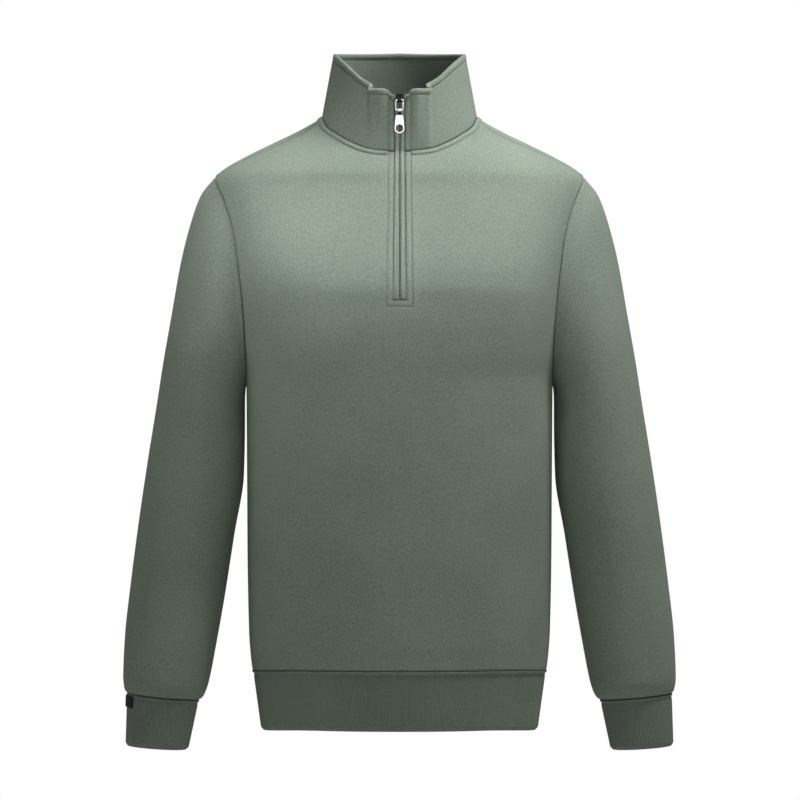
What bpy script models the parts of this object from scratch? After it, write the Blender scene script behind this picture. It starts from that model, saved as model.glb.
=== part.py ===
"""Quarter-zip pullover sweatshirt, filled out as if worn but empty inside.

Every piece that is cut and sewn is one closed solid. The torso panels share one smooth form, worked
out from a table of level sections, so they meet along their seams. Sleeves start at the armholes that
the panels leave, and run through a table of sections down to the rib cuffs. Metres, +Z up, the front
faces -Y, and the origin lies midway between the two points where the shoulders meet the collar.
"""

import math

import bpy
import numpy as np
from mathutils import Vector
from mathutils.bvhtree import BVHTree

# Cloth
WALL = 0.0022
SEAM_INSET = 0.0002
SURFACE_GAP = 0.0003

# Torso: level sections from the hem seam to just above the shoulders. A section is a superellipse.
TORSO_COLUMNS = ("z", "half_width", "front", "back", "roundness")
TORSO = (
    (-0.6400, 0.1685, 0.1115, 0.1070, 2.30),
    (-0.6200, 0.1715, 0.1124, 0.1080, 2.30),
    (-0.5900, 0.1730, 0.1132, 0.1085, 2.30),
    (-0.5000, 0.1742, 0.1152, 0.1090, 2.30),
    (-0.4000, 0.1748, 0.1185, 0.1110, 2.30),
    (-0.3055, 0.1756, 0.1228, 0.1150, 2.30),
    (-0.2320, 0.1850, 0.1262, 0.1185, 2.30),
    (-0.1840, 0.1920, 0.1266, 0.1190, 2.30),
    (-0.1430, 0.1980, 0.1195, 0.1165, 2.28),
    (-0.1210, 0.2025, 0.1130, 0.1140, 2.25),
    (-0.1000, 0.2080, 0.1045, 0.1110, 2.20),
    (-0.0800, 0.2125, 0.0955, 0.1075, 2.15),
    (-0.0683, 0.2116, 0.0890, 0.1045, 2.12),
    (-0.0598, 0.2024, 0.0838, 0.1020, 2.10),
    (-0.0460, 0.1788, 0.0740, 0.0970, 2.08),
    (-0.0322, 0.1512, 0.0612, 0.0920, 2.05),
    (-0.0184, 0.1225, 0.0487, 0.0860, 2.02),
    (-0.0046, 0.0972, 0.0420, 0.0775, 2.00),
    (0.0020, 0.0875, 0.0390, 0.0730, 2.00),
    (0.0090, 0.0760, 0.0340, 0.0660, 2.00),
    (0.0180, 0.0600, 0.0260, 0.0560, 2.00),
)

# Seams on the torso
HEM_SEAM_Z = -0.6365
HEM_SEAM_RISE = 0.0032
ARMHOLE_TOP_Z = -0.0683
UNDERARM_Z = -0.3055
ARMHOLE_FRONT = 0.050
ARMHOLE_BACK = 0.056
SHOULDER_SEAM_ANGLE = 14.0
NECKLINE_COLUMNS = ("degrees_from_front", "z")
NECKLINE = (
    (0.0, -0.0430),
    (10.0, -0.0425),
    (26.5, -0.0402),
    (44.0, -0.0318),
    (63.7, -0.0180),
    (85.0, 0.0000),
    (100.0, 0.0030),
    (130.0, 0.0060),
    (180.0, 0.0080),
)
NECK_END_DEGREES = 80.0
SHOULDER_SEAM_COLUMNS = ("share", "forward_of_straight")
SHOULDER_SEAM_BOW = ((0.0, 0.0), (0.25, 0.009), (0.5, 0.012), (0.75, 0.009), (1.0, 0.0))

# Zip
SLOT_HALF_TOP = 0.0064
SLOT_HALF_BOTTOM = 0.0078
SLOT_BOTTOM_Z = -0.2131
TAPE_TOP_Z = 0.0195
TAPE_BEHIND = 0.0007
TAPE_HALF = 0.0135
TAPE_THICK = 0.0010
TAPE_RECESS = 0.0009
TAPE_START = 0.0002
TAPE_MIDDLE = 0.0034
TAPE_BEND_START = 0.0018
TAPE_BEND_END = 0.0003
TAPE_BEND_BELOW_SEAM = 0.007
TAPE_BEND_ABOVE_SEAM = 0.005
TAPE_ROWS_ABOVE_SEAM = 4

# Sleeve: sections from the armhole to the cuff seam, by their outer and inner points seen from the front
SLEEVE_COLUMNS = ("share", "outer_x", "outer_z", "inner_x", "inner_z", "half_depth", "centre_y")
SLEEVE = (
    (0.000, 0.2116, -0.0683, 0.1760, -0.3058, 0.053, 0.003),
    (0.035, 0.2280, -0.0885, 0.1767, -0.3080, 0.058, 0.004),
    (0.085, 0.2415, -0.1260, 0.1772, -0.3110, 0.062, 0.005),
    (0.145, 0.2519, -0.1679, 0.1775, -0.3150, 0.0645, 0.006),
    (0.215, 0.2616, -0.2230, 0.1778, -0.3215, 0.066, 0.006),
    (0.290, 0.2714, -0.2783, 0.1780, -0.3330, 0.0665, 0.006),
    (0.370, 0.2800, -0.3335, 0.1782, -0.3600, 0.065, 0.006),
    (0.470, 0.2900, -0.3960, 0.1795, -0.4120, 0.0625, 0.005),
    (0.580, 0.2996, -0.4623, 0.1900, -0.4770, 0.059, 0.002),
    (0.700, 0.3088, -0.5360, 0.2013, -0.5510, 0.054, -0.005),
    (0.800, 0.3145, -0.5910, 0.2108, -0.6060, 0.050, -0.012),
    (0.875, 0.3168, -0.6280, 0.2170, -0.6420, 0.047, -0.017),
    (0.925, 0.3174, -0.6460, 0.2222, -0.6590, 0.044, -0.020),
    (0.970, 0.3148, -0.6615, 0.2278, -0.6720, 0.0375, -0.0215),
    (1.000, 0.3112, -0.6662, 0.2335, -0.6765, 0.0305, -0.022),
)
SLEEVE_SHARES = (
    0.0, 0.012, 0.035, 0.06, 0.09, 0.125, 0.165, 0.215, 0.27, 0.33, 0.40,
    0.48, 0.57, 0.66, 0.75, 0.83, 0.89, 0.93, 0.96, 0.98, 1.0,
)
ARMHOLE_FADE = 0.30
UNDERARM_CLEAR = 0.0004
WALLS_PART = -0.6
WALLS_MEET = 0.2

# How finely the panels and the collar are divided
SIDE_ROWS = 10
ARMHOLE_ROWS = 12
ROWS_BELOW_SLOT = 15
FRONT_COLUMNS = 15
SHOULDER_COLUMNS = 7
BACK_COLUMNS = 15

# Cuffs, seen from the front: outer and inner points of the two ends
CUFF_TOP = {"outer": (0.3118, -0.6668), "inner": (0.2336, -0.6771), "half_depth": 0.0300, "y": -0.022}
CUFF_BOTTOM = {"outer": (0.3150, -0.7205), "inner": (0.2434, -0.7260), "half_depth": 0.0268, "y": -0.027}
CUFF_RIBS = 70
CUFF_INNER_SIDES = 28
CUFF_WALL = 0.0026

# Hem band
HEM_TOP = {"half_width": 0.1686, "front": 0.1110, "back": 0.1065, "z": -0.6369, "rise": 0.0032}
HEM_BOTTOM = {"half_width": 0.1588, "front": 0.1045, "back": 0.1005, "z": -0.6995, "rise": 0.0045}
HEM_RIBS = 330
HEM_INNER_SIDES = 110
HEM_WALL = 0.0028
RIB_RELIEF = 0.0004

# Collar
COLLAR_HALF_WIDTH = 0.0758
COLLAR_TOP_FRONT = 0.0745
COLLAR_TOP_BACK = 0.0520
COLLAR_TOP_COLUMNS = ("degrees_from_front", "z")
COLLAR_TOP = (
    (0.0, 0.0205),
    (9.0, 0.0235),
    (14.0, 0.0255),
    (24.0, 0.0270),
    (30.0, 0.0345),
    (45.0, 0.0500),
    (60.0, 0.0625),
    (75.0, 0.0700),
    (90.0, 0.0735),
    (120.0, 0.0765),
    (180.0, 0.0790),
)
COLLAR_PROFILE_COLUMNS = ("share", "outward", "thickness")
COLLAR_PROFILE = (
    (0.00, 0.0000, 0.0032),
    (0.16, 0.0000, 0.0032),
    (0.36, 0.0000, 0.0032),
    (0.58, 0.0000, 0.0032),
    (0.80, 0.0000, 0.0032),
    (0.905, 0.0000, 0.0032),
    (0.925, -0.0006, 0.0022),
    (0.945, 0.0006, 0.0042),
    (0.972, 0.0009, 0.0048),
    (0.992, 0.0004, 0.0038),
    (1.000, -0.0007, 0.0018),
)
COLLAR_DEGREES = (
    4.9, 7.5, 10.5, 14.0, 18.0, 21.5, 24.0, 25.8, 27.3, 28.8, 30.5, 33.0, 37.0,
    43.0, 50.0, 58.0, 67.0, 77.0, 88.0, 100.0, 114.0, 130.0, 146.0, 163.0, 180.0,
)
CREASE_X = 0.0350
CREASE_REACH = 0.0040
CREASE_FORWARD = 0.0058
CREASE_TUCK_COLUMNS = ("share", "left_tuck", "right_tuck")
CREASE_TUCK = (
    (0.00, 0.00, 0.00),
    (0.30, 0.10, 0.55),
    (0.60, 0.45, 0.85),
    (0.85, 0.85, 1.00),
    (1.00, 1.00, 1.12),
)
CREASE_SWING = 0.0030
CREASE_SHARPNESS = 1.3

# Band that covers the collar seam
NECK_BAND_PROFILE_COLUMNS = ("down_from_seam", "height")
NECK_BAND_PROFILE = ((0.0064, 0.0006), (0.0052, 0.0015), (0.0018, 0.0015), (0.0009, 0.0009))
BAND_GAP = 0.0006
CAST_REACH = 0.010
NECK_BAND_END_X = 0.0135

# Slider and pull, at the top of the zip
SLIDER_TOP_Z = 0.0219
SLIDER_BOTTOM_Z = 0.0125
LINK_AXIS_Z = 0.0148
TAG_AXIS_Z = 0.0031
PULL_Y = -0.0786
MERGE = 0.0006
EDGE_STEP = 0.0002
BORE_SIDES = 16
PLATE_THICK = 0.0017
PLATE_TOP_HALF = 0.0049
PLATE_BOTTOM_HALF = 0.0034
PLATE_CORNER_WIDTH = 0.0014
PLATE_CORNER_HEIGHT = 0.0035
BACK_PLATE_HALF = 0.0040
POST_HALF = 0.0020
CROWN_HALF_WIDTH = 0.0024
CROWN_PAST_AXIS = 0.0021
CROWN_ABOVE_AXIS = 0.0030
CROWN_NOSE = 0.0008
CROWN_SLOPE = 0.0016
CROWN_SHOULDER = 0.0012
RUNNING_GAP = 0.0004
BAR_RADIUS = 0.0008
LINK_HALF_WIDTH = 0.0050
LINK_CORNER = 0.0013
LINK_CORNER_POINTS = 4
LINK_SIDES = 8
TAG_SHOULDER_Z = -0.0018
TAG_HOLE_Z = -0.0172
TAG_HOLE_RADIUS = 0.0038
TAG_ROUND_RADIUS = 0.0063
TAG_TOP_HALF = 0.0042
TAG_DEPTH = 0.0017
TAG_CORNER = 0.0008
TAG_ROUND_STEPS = 14
TAG_HOLE_SIDES = 24
TAG_NECK_REACH = 0.0010
EYE_OUTER = 0.0019
EYE_INNER = 0.00118
EYE_HALF_WIDTH = 0.0023

# Small folded tab on the outer side of the cuff at -X
TAB_Z_TOP = -0.6690
TAB_Z_BOTTOM = -0.6830
TAB_HALF_DEGREES = 30.0
TAB_THICK = 0.0011
TAB_COLUMNS = 7

# Colours as linear RGB, then roughness and metallic
FLEECE = ((0.155, 0.195, 0.150), 0.92, 0.0)
RIB_KNIT = ((0.130, 0.160, 0.125), 0.95, 0.0)
TAPE = ((0.110, 0.140, 0.105), 0.80, 0.0)
GUNMETAL = ((0.035, 0.035, 0.038), 0.30, 1.0)
CHROME = ((0.78, 0.76, 0.77), 0.14, 1.0)
TAB_WEAVE = ((0.012, 0.012, 0.014), 0.75, 0.0)


def column(table, names, name):
    """One named column of a table, as an array."""
    return np.array([row[names.index(name)] for row in table], dtype=float)


def smooth_through(keys, values, at):
    """A smooth curve through the table's points that doesn't overshoot them (monotone cubic)."""
    keys, values = np.asarray(keys, float), np.asarray(values, float)
    at = np.clip(np.asarray(at, float), keys[0], keys[-1])
    steps = np.diff(keys)
    slopes = np.diff(values) / steps
    tangents = np.empty_like(values)
    tangents[0], tangents[-1] = slopes[0], slopes[-1]
    same_way = slopes[:-1] * slopes[1:] > 0
    total = np.where(same_way, slopes[:-1] + slopes[1:], 1.0)
    tangents[1:-1] = np.where(same_way, 2 * slopes[:-1] * slopes[1:] / total, 0.0)
    span = np.clip(np.searchsorted(keys, at, side="right") - 1, 0, len(steps) - 1)
    step = steps[span]
    t = (at - keys[span]) / step
    rise = values[span + 1] - values[span]
    start, end = tangents[span] * step, tangents[span + 1] * step
    return values[span] + t * (start + t * (3 * rise - 2 * start - end + t * (start + end - 2 * rise)))


def unit(vectors):
    return vectors / np.maximum(np.linalg.norm(vectors, axis=-1, keepdims=True), 1e-12)


def smoothstep(x):
    x = np.clip(x, 0.0, 1.0)
    return x * x * (3 - 2 * x)


# The torso's form


def torso_value(z, name):
    return smooth_through(column(TORSO, TORSO_COLUMNS, "z"), column(TORSO, TORSO_COLUMNS, name), z)


def outside(points):
    """Zero on the torso's form, positive outside it."""
    x, y, z = points[..., 0], points[..., 1], points[..., 2]
    depth = np.where(y < 0, torso_value(z, "front"), torso_value(z, "back"))
    power = torso_value(z, "roundness")
    reach = np.abs(x / torso_value(z, "half_width")) ** power + np.abs(y / depth) ** power
    return reach ** (1 / power) - 1


def gradient(points):
    step = 1e-5
    parts = []
    for axis in range(3):
        shift = np.zeros(3)
        shift[axis] = step
        parts.append((outside(points + shift) - outside(points - shift)) / (2 * step))
    return np.stack(parts, axis=-1)


def onto_torso(points, rounds=8):
    """The nearest points on the torso's form, by Newton steps along its gradient."""
    for _ in range(rounds):
        slope = gradient(points)
        points = points - slope * (outside(points) / (slope**2).sum(-1))[..., None]
    return points


def torso_normal(points):
    return unit(gradient(points))


def section_point(degrees, z):
    """The point of the torso's form at an angle from the front, towards +X, and a height."""
    angle = np.radians(degrees)
    side, fore = np.sin(angle), -np.cos(angle)
    depth = np.where(fore < 0, torso_value(z, "front"), torso_value(z, "back"))
    power = torso_value(z, "roundness")
    reach = np.abs(side / torso_value(z, "half_width")) ** power + np.abs(fore / depth) ** power
    radius = reach ** (-1 / power)
    return np.stack([radius * side, radius * fore, z + 0 * radius], axis=-1)


def neckline(degrees):
    keys = column(NECKLINE, NECKLINE_COLUMNS, "degrees_from_front")
    return section_point(degrees, smooth_through(keys, column(NECKLINE, NECKLINE_COLUMNS, "z"), degrees))


def neck_stations():
    """The panels' own points along the neckline, as angles from the front."""
    start = math.degrees(math.atan2(SLOT_HALF_TOP, -neckline(np.array(0.0))[1]))
    front = np.linspace(start, NECK_END_DEGREES, FRONT_COLUMNS - SHOULDER_COLUMNS + 1)
    back = np.linspace(NECK_END_DEGREES, 180.0, BACK_COLUMNS - SHOULDER_COLUMNS + 1)
    return front, back


def neck_edge(degrees):
    """The neckline as the panels' edges make it: straight between their points."""
    front, back = neck_stations()
    stations = np.concatenate([front, back[1:]])
    points = neckline(stations)
    return np.stack([np.interp(degrees, stations, points[:, axis]) for axis in range(3)], axis=-1)


def hem_seam(degrees):
    return section_point(degrees, HEM_SEAM_Z + HEM_SEAM_RISE * np.cos(np.radians(degrees)) ** 2)


def armhole(degrees):
    """The armhole at +X: 0 degrees at its top, 90 in front, 180 under the arm, 270 behind."""
    angle = np.radians(degrees)
    middle, half = (ARMHOLE_TOP_Z + UNDERARM_Z) / 2, (ARMHOLE_TOP_Z - UNDERARM_Z) / 2
    z = middle + half * np.cos(angle)
    reach = np.where(np.sin(angle) > 0, ARMHOLE_FRONT, ARMHOLE_BACK)
    y = -reach * np.sin(angle)
    depth = np.where(y < 0, torso_value(z, "front"), torso_value(z, "back"))
    power = torso_value(z, "roundness")
    x = torso_value(z, "half_width") * (1 - np.abs(y / depth) ** power) ** (1 / power)
    return np.stack([x, y, z], axis=-1)


def shoulder_seam(shares):
    """From the neckline to the armhole, a little forward of the shoulder's ridge."""
    start, end = neckline(np.array(NECK_END_DEGREES)), armhole(np.array(SHOULDER_SEAM_ANGLE))
    shares = np.asarray(shares, float)
    keys = column(SHOULDER_SEAM_BOW, SHOULDER_SEAM_COLUMNS, "share")
    forward = column(SHOULDER_SEAM_BOW, SHOULDER_SEAM_COLUMNS, "forward_of_straight")
    points = start + (end - start) * shares[:, None]
    points[:, 1] -= smooth_through(keys, forward, shares)
    low, high = np.full(len(shares), -0.10), np.full(len(shares), 0.015)
    for _ in range(40):
        middle = (low + high) / 2
        points[:, 2] = middle
        above = outside(points) > 0
        high, low = np.where(above, middle, high), np.where(above, low, middle)
    points[0], points[-1] = start, end
    return points


def slot_half(z):
    share = (z - SLOT_BOTTOM_Z) / (column(NECKLINE, NECKLINE_COLUMNS, "z")[0] - SLOT_BOTTOM_Z)
    return SLOT_HALF_BOTTOM + (SLOT_HALF_TOP - SLOT_HALF_BOTTOM) * np.clip(share, 0, 1)


def slot_rows():
    """The heights of the front panel's points along the slot."""
    return np.linspace(SLOT_BOTTOM_Z, NECKLINE[0][1], SIDE_ROWS + ARMHOLE_ROWS - ROWS_BELOW_SLOT)


def on_front(x, z):
    depth, power = torso_value(z, "front"), torso_value(z, "roundness")
    y = -depth * (1 - np.abs(x / torso_value(z, "half_width")) ** power) ** (1 / power)
    return np.stack([x + 0 * z, y, z], axis=-1)


# Building solids


def grid_quads(rows, columns, closed=False, turned=()):
    """Faces of a grid of points. Column direction x row direction points out of the cloth. Faces in the
    turned columns start one corner later, so that the two halves of a piece split alike."""
    quads = []
    for row in range(rows - 1):
        for col in range(columns if closed else columns - 1):
            after = (col + 1) % columns
            low, high = row * columns, (row + 1) * columns
            quad = (low + col, low + after, high + after, high + col)
            quads.append(quad[1:] + quad[:1] if col in turned else quad)
    return quads


def mirror_quads(grid):
    """Faces of a grid whose later columns mirror the earlier ones."""
    rows, columns = grid.shape[:2]
    return grid_quads(rows, columns, turned=range(columns // 2, columns))


def add_object(name, points, faces, finish, smooth_degrees=50.0):
    mesh = bpy.data.meshes.new(name)
    mesh.from_pydata([tuple(map(float, point)) for point in points], [], faces)
    mesh.validate()
    mesh.shade_smooth()
    mesh.set_sharp_from_angle(angle=math.radians(smooth_degrees))
    colour, roughness, metallic = finish
    material = bpy.data.materials.new(name)
    material.use_nodes = True
    shader = material.node_tree.nodes["Principled BSDF"]
    shader.inputs["Base Color"].default_value = (*colour, 1.0)
    shader.inputs["Roughness"].default_value = roughness
    shader.inputs["Metallic"].default_value = metallic
    mesh.materials.append(material)
    obj = bpy.data.objects.new(name, mesh)
    bpy.context.scene.collection.objects.link(obj)
    return obj


def add_wall(name, outer, inner, quads, finish, mirrored=False):
    """A closed wall between two faces with the same points and faces, with rims along open edges."""
    outer, inner = outer.reshape(-1, 3), inner.reshape(-1, 3)
    if mirrored:
        outer, inner = outer * [-1, 1, 1], inner * [-1, 1, 1]
        quads = [tuple(reversed(quad)) for quad in quads]
    count = len(outer)
    edges = {(quad[i], quad[(i + 1) % len(quad)]) for quad in quads for i in range(len(quad))}
    faces = list(quads)
    faces += [tuple(count + point for point in reversed(quad)) for quad in quads]
    faces += [(b, a, a + count, b + count) for a, b in sorted(edges) if (b, a) not in edges]
    used = sorted({point for face in faces for point in face})
    number = {point: i for i, point in enumerate(used)}
    points = np.concatenate([outer, inner])[used]
    return add_object(name, points, [tuple(number[p] for p in face) for face in faces], finish)


def cast_onto(objects, points, normals):
    """Where lines along the normals meet the objects' outermost faces."""
    trees = [BVHTree.FromObject(obj, bpy.context.evaluated_depsgraph_get()) for obj in objects]
    found = []
    for point, normal in zip(points, normals):
        start, toward = Vector(point + normal * CAST_REACH), Vector(-normal)
        hits = [tree.ray_cast(start, toward, 2 * CAST_REACH)[0] for tree in trees]
        hits = [hit for hit in hits if hit is not None]
        nearest = min(hits, key=lambda hit: (hit - start).length) if hits else Vector(point)
        found.append(np.array(nearest))
    return np.array(found)


def inset_edges(grid, inset, sides):
    """Moves the named edges of a grid of points back from the seam they lie on, along the cloth."""
    moved = grid.copy()
    if "top" in sides:
        moved[-1] += unit(grid[-2] - grid[-1]) * inset
    if "left" in sides:
        moved[:, 0] += unit(grid[:, 1] - grid[:, 0]) * inset
    if "right" in sides:
        moved[:, -1] += unit(grid[:, -2] - grid[:, -1]) * inset
    return moved


def coons(bottom, top, left, right):
    """Points between four edge curves, rows from bottom to top and columns from left to right."""
    rows, columns = len(left), len(bottom)
    v, u = np.meshgrid(np.linspace(0, 1, rows), np.linspace(0, 1, columns), indexing="ij")
    u, v = u[..., None], v[..., None]
    across = (1 - u) * left[:, None] + u * right[:, None]
    along = (1 - v) * bottom[None] + v * top[None]
    corners = (1 - v) * ((1 - u) * bottom[0] + u * bottom[-1]) + v * ((1 - u) * top[0] + u * top[-1])
    return across + along - corners


def grid_normals(grid, closed=False):
    """Unit normals of a grid of points, along column direction x row direction."""
    if closed:
        along = np.roll(grid, -1, axis=1) - np.roll(grid, 1, axis=1)
    else:
        along = np.gradient(grid, axis=1)
    return unit(np.cross(along, np.gradient(grid, axis=0)))


# Sleeve


def sleeve_value(share, name):
    keys, values = column(SLEEVE, SLEEVE_COLUMNS, "share"), column(SLEEVE, SLEEVE_COLUMNS, name)
    return smooth_through(keys, values, share)


def sleeve_ellipse(share, degrees):
    outer_x, outer_z = sleeve_value(share, "outer_x"), sleeve_value(share, "outer_z")
    inner_x, inner_z = sleeve_value(share, "inner_x"), sleeve_value(share, "inner_z")
    out, fore = np.cos(np.radians(degrees)), np.sin(np.radians(degrees))
    x = (outer_x + inner_x) / 2 + (outer_x - inner_x) / 2 * out
    y = sleeve_value(share, "centre_y") - sleeve_value(share, "half_depth") * fore
    z = (outer_z + inner_z) / 2 + (outer_z - inner_z) / 2 * out
    return np.stack([x, y, z], axis=-1)


def sleeve_point(share, degrees):
    """The sleeve at +X: 0 degrees on its outer side, 90 in front. It starts as the armhole."""
    difference = armhole(degrees) - sleeve_ellipse(0.0, degrees)
    fade = 1 - smoothstep(np.asarray(share) / ARMHOLE_FADE)
    return sleeve_ellipse(share, degrees) + difference * np.asarray(fade)[..., None]


def seam_directions(degrees):
    """At the armhole, the wall's directions in the panel and in the sleeve, which meet on one line
    where the two pieces run on into each other, and part where they turn back to back."""
    step = 0.004
    panel = torso_normal(armhole(degrees))
    along = armhole(degrees + 0.5) - armhole(degrees - 0.5)
    down = sleeve_point(step, degrees) - sleeve_point(0.0, degrees)
    sleeve = unit(np.cross(along, down))
    agreement = (panel * sleeve).sum(-1, keepdims=True)
    share = np.clip((agreement - WALLS_PART) / (WALLS_MEET - WALLS_PART), 0, 1)
    return unit(panel + share * sleeve), unit(sleeve + share * panel)


def armhole_degrees(is_front):
    """The panels' points along the armhole, from under the arm to the shoulder seam."""
    end = SHOULDER_SEAM_ANGLE if is_front else 360.0 + SHOULDER_SEAM_ANGLE
    return np.linspace(180.0, end, ARMHOLE_ROWS)


def make_sleeve(name, mirrored):
    degrees = np.concatenate([armhole_degrees(True)[::-1], armhole_degrees(False)[1:-1]])
    shares = np.array(SLEEVE_SHARES)
    grid = np.stack([sleeve_point(share, degrees) for share in shares])
    normals = grid_normals(grid, closed=True)
    normals[0] = seam_directions(degrees)[1]
    grid[0] += unit(grid[1] - grid[0]) * SEAM_INSET
    grid[0, :, 0] += UNDERARM_CLEAR * smoothstep(-np.cos(np.radians(degrees)))
    quads = grid_quads(len(shares), len(degrees), closed=True)
    return add_wall(name, grid, grid - normals * WALL, quads, FLEECE, mirrored)


# Body panels


def panel_thickness(grid, edge_column, edge_degrees):
    """The panel's inner points: along the form's normals, and along the seam at the armhole."""
    normals = torso_normal(grid)
    first = len(grid) - len(edge_degrees)
    normals[first:, edge_column] = seam_directions(edge_degrees)[0]
    return grid - normals * WALL


def side_edge(is_front):
    """Up the side seam, then along the armhole to the shoulder seam."""
    rising = np.linspace(0, 1, SIDE_ROWS, endpoint=False)
    seam_z = HEM_SEAM_Z + (UNDERARM_Z - HEM_SEAM_Z) * rising
    side = section_point(90.0, seam_z)
    side[:, 1] = -1e-9 if is_front else 1e-9
    return np.concatenate([side, armhole(armhole_degrees(is_front))])


def make_front():
    side = side_edge(True)
    below = np.linspace(HEM_SEAM_Z + HEM_SEAM_RISE, SLOT_BOTTOM_Z, ROWS_BELOW_SLOT, endpoint=False)
    centre_z = np.concatenate([below, slot_rows()])
    centre = on_front(slot_half(centre_z), centre_z)
    hem_start = math.degrees(math.atan2(centre[0, 0], -centre[0, 1]))
    hem = hem_seam(np.linspace(hem_start, 90.0, FRONT_COLUMNS))
    neck = neckline(neck_stations()[0])
    shoulder = shoulder_seam(np.linspace(0, 1, SHOULDER_COLUMNS))
    top = np.concatenate([neck[:-1], shoulder])
    hem[0], top[0] = centre[0], centre[-1]
    hem[-1], top[-1] = side[0], side[-1]
    half = coons(hem, top, centre, side)
    half[1:-1, 1:-1] = onto_torso(half[1:-1, 1:-1])
    half = inset_edges(half, SEAM_INSET, ("top", "right"))
    inner = panel_thickness(half, -1, armhole_degrees(True))
    flip = np.array([-1, 1, 1])
    outer = np.concatenate([half[:, ::-1] * flip, half], axis=1)
    inner = np.concatenate([inner[:, ::-1] * flip, inner], axis=1)
    quads = grid_quads(len(side), 2 * FRONT_COLUMNS, turned=range(FRONT_COLUMNS - 1))
    in_slot = {row * (2 * FRONT_COLUMNS) + FRONT_COLUMNS - 1 for row in range(ROWS_BELOW_SLOT, len(side))}
    quads = [quad for quad in quads if quad[0] not in in_slot]
    return add_wall("front", outer, inner, quads, FLEECE)


def make_back():
    side = side_edge(False)
    centre_z = np.linspace(HEM_SEAM_Z + HEM_SEAM_RISE, NECKLINE[-1][1], len(side))
    centre = section_point(180.0, centre_z)
    hem = hem_seam(np.linspace(90.0, 180.0, BACK_COLUMNS))
    shoulder = shoulder_seam(np.linspace(0, 1, SHOULDER_COLUMNS))[::-1]
    neck = neckline(neck_stations()[1])
    top = np.concatenate([shoulder, neck[1:]])
    hem[0], top[0] = side[0], side[-1]
    hem[-1], top[-1] = centre[0], centre[-1]
    half = coons(hem, top, side, centre)
    half[1:-1, 1:-1] = onto_torso(half[1:-1, 1:-1])
    half = inset_edges(half, SEAM_INSET, ("top", "left"))
    inner = panel_thickness(half, 0, armhole_degrees(False))
    flip = np.array([-1, 1, 1])
    outer = np.concatenate([half, half[:, -2::-1] * flip], axis=1)
    inner = np.concatenate([inner, inner[:, -2::-1] * flip], axis=1)
    return add_wall("back", outer, inner, mirror_quads(outer), FLEECE)


# Rib bands


def even_degrees(ring, count):
    """Angles that divide a closed ring into equal lengths."""
    fine = np.linspace(0, 360, 1441)
    points = ring(0.5, fine)
    lengths = np.concatenate([[0], np.cumsum(np.linalg.norm(np.diff(points, axis=0), axis=1))])
    return np.interp(np.arange(count) * lengths[-1] / count, lengths, fine)


def ring_normals(ring, share, degrees):
    along = ring(share, degrees + 0.2) - ring(share, degrees - 0.2)
    across = ring(min(share + 0.01, 1.0), degrees) - ring(max(share - 0.01, 0.0), degrees)
    return unit(np.cross(along, across))


def make_ribbed_band(name, ring, ribs, inner_sides, wall, mirrored=False):
    """A rib-knit tube: ribs raised in its outer points over a plain inside, open at both ends."""
    outer_count = 2 * ribs
    per_side = outer_count // inner_sides
    outer_degrees = even_degrees(ring, outer_count)
    inner_degrees = outer_degrees[::per_side]
    relief = np.where(np.arange(outer_count) % 2 == 0, RIB_RELIEF, 0.0)[:, None]
    points = []
    for share in (0.0, 1.0):
        points.append(ring(share, outer_degrees) + ring_normals(ring, share, outer_degrees) * relief)
    for share in (0.0, 1.0):
        points.append(ring(share, inner_degrees) - ring_normals(ring, share, inner_degrees) * wall)
    low, high = 0, outer_count
    inner_low, inner_high = 2 * outer_count, 2 * outer_count + inner_sides
    faces = [
        (low + i, low + (i + 1) % outer_count, high + (i + 1) % outer_count, high + i)
        for i in range(outer_count)
    ]
    for k in range(inner_sides):
        after = (k + 1) % inner_sides
        faces.append((inner_low + after, inner_low + k, inner_high + k, inner_high + after))
        fan = [(k * per_side + j) % outer_count for j in range(per_side + 1)]
        middle = per_side // 2
        for j in range(per_side):
            near = k if j < middle else after
            faces.append((low + fan[j + 1], low + fan[j], inner_low + near))
            faces.append((high + fan[j], high + fan[j + 1], inner_high + near))
        faces.append((low + fan[middle], inner_low + k, inner_low + after))
        faces.append((high + fan[middle], inner_high + after, inner_high + k))
    points = np.concatenate(points)
    if mirrored:
        points = points * [-1, 1, 1]
        faces = [tuple(reversed(face)) for face in faces]
    return add_object(name, points, faces, RIB_KNIT, smooth_degrees=20.0)


def hem_ring(share, degrees):
    """Share 0 is the bottom edge, share 1 the seam."""
    size = {key: HEM_BOTTOM[key] + (HEM_TOP[key] - HEM_BOTTOM[key]) * share for key in HEM_TOP}
    angle = np.radians(degrees)
    side, fore = np.sin(angle), -np.cos(angle)
    depth = np.where(fore < 0, size["front"], size["back"])
    power = TORSO[0][TORSO_COLUMNS.index("roundness")]
    radius = (np.abs(side / size["half_width"]) ** power + np.abs(fore / depth) ** power) ** (-1 / power)
    z = size["z"] + size["rise"] * np.cos(angle) ** 2
    return np.stack([radius * side, radius * fore, z], axis=-1)


def cuff_ring(share, degrees):
    """Share 0 is the seam, share 1 the bottom edge: 0 degrees on the outer side, 90 in front."""
    outer = np.array(CUFF_TOP["outer"]) * (1 - share) + np.array(CUFF_BOTTOM["outer"]) * share
    inner = np.array(CUFF_TOP["inner"]) * (1 - share) + np.array(CUFF_BOTTOM["inner"]) * share
    out, fore = np.cos(np.radians(degrees)), np.sin(np.radians(degrees))
    half_depth = CUFF_TOP["half_depth"] * (1 - share) + CUFF_BOTTOM["half_depth"] * share
    centre_y = CUFF_TOP["y"] * (1 - share) + CUFF_BOTTOM["y"] * share
    middle, half = (outer + inner) / 2, (outer - inner) / 2
    x, z = middle[0] + half[0] * out, middle[1] + half[1] * out
    return np.stack([x, centre_y - half_depth * fore, z], axis=-1)


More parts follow.
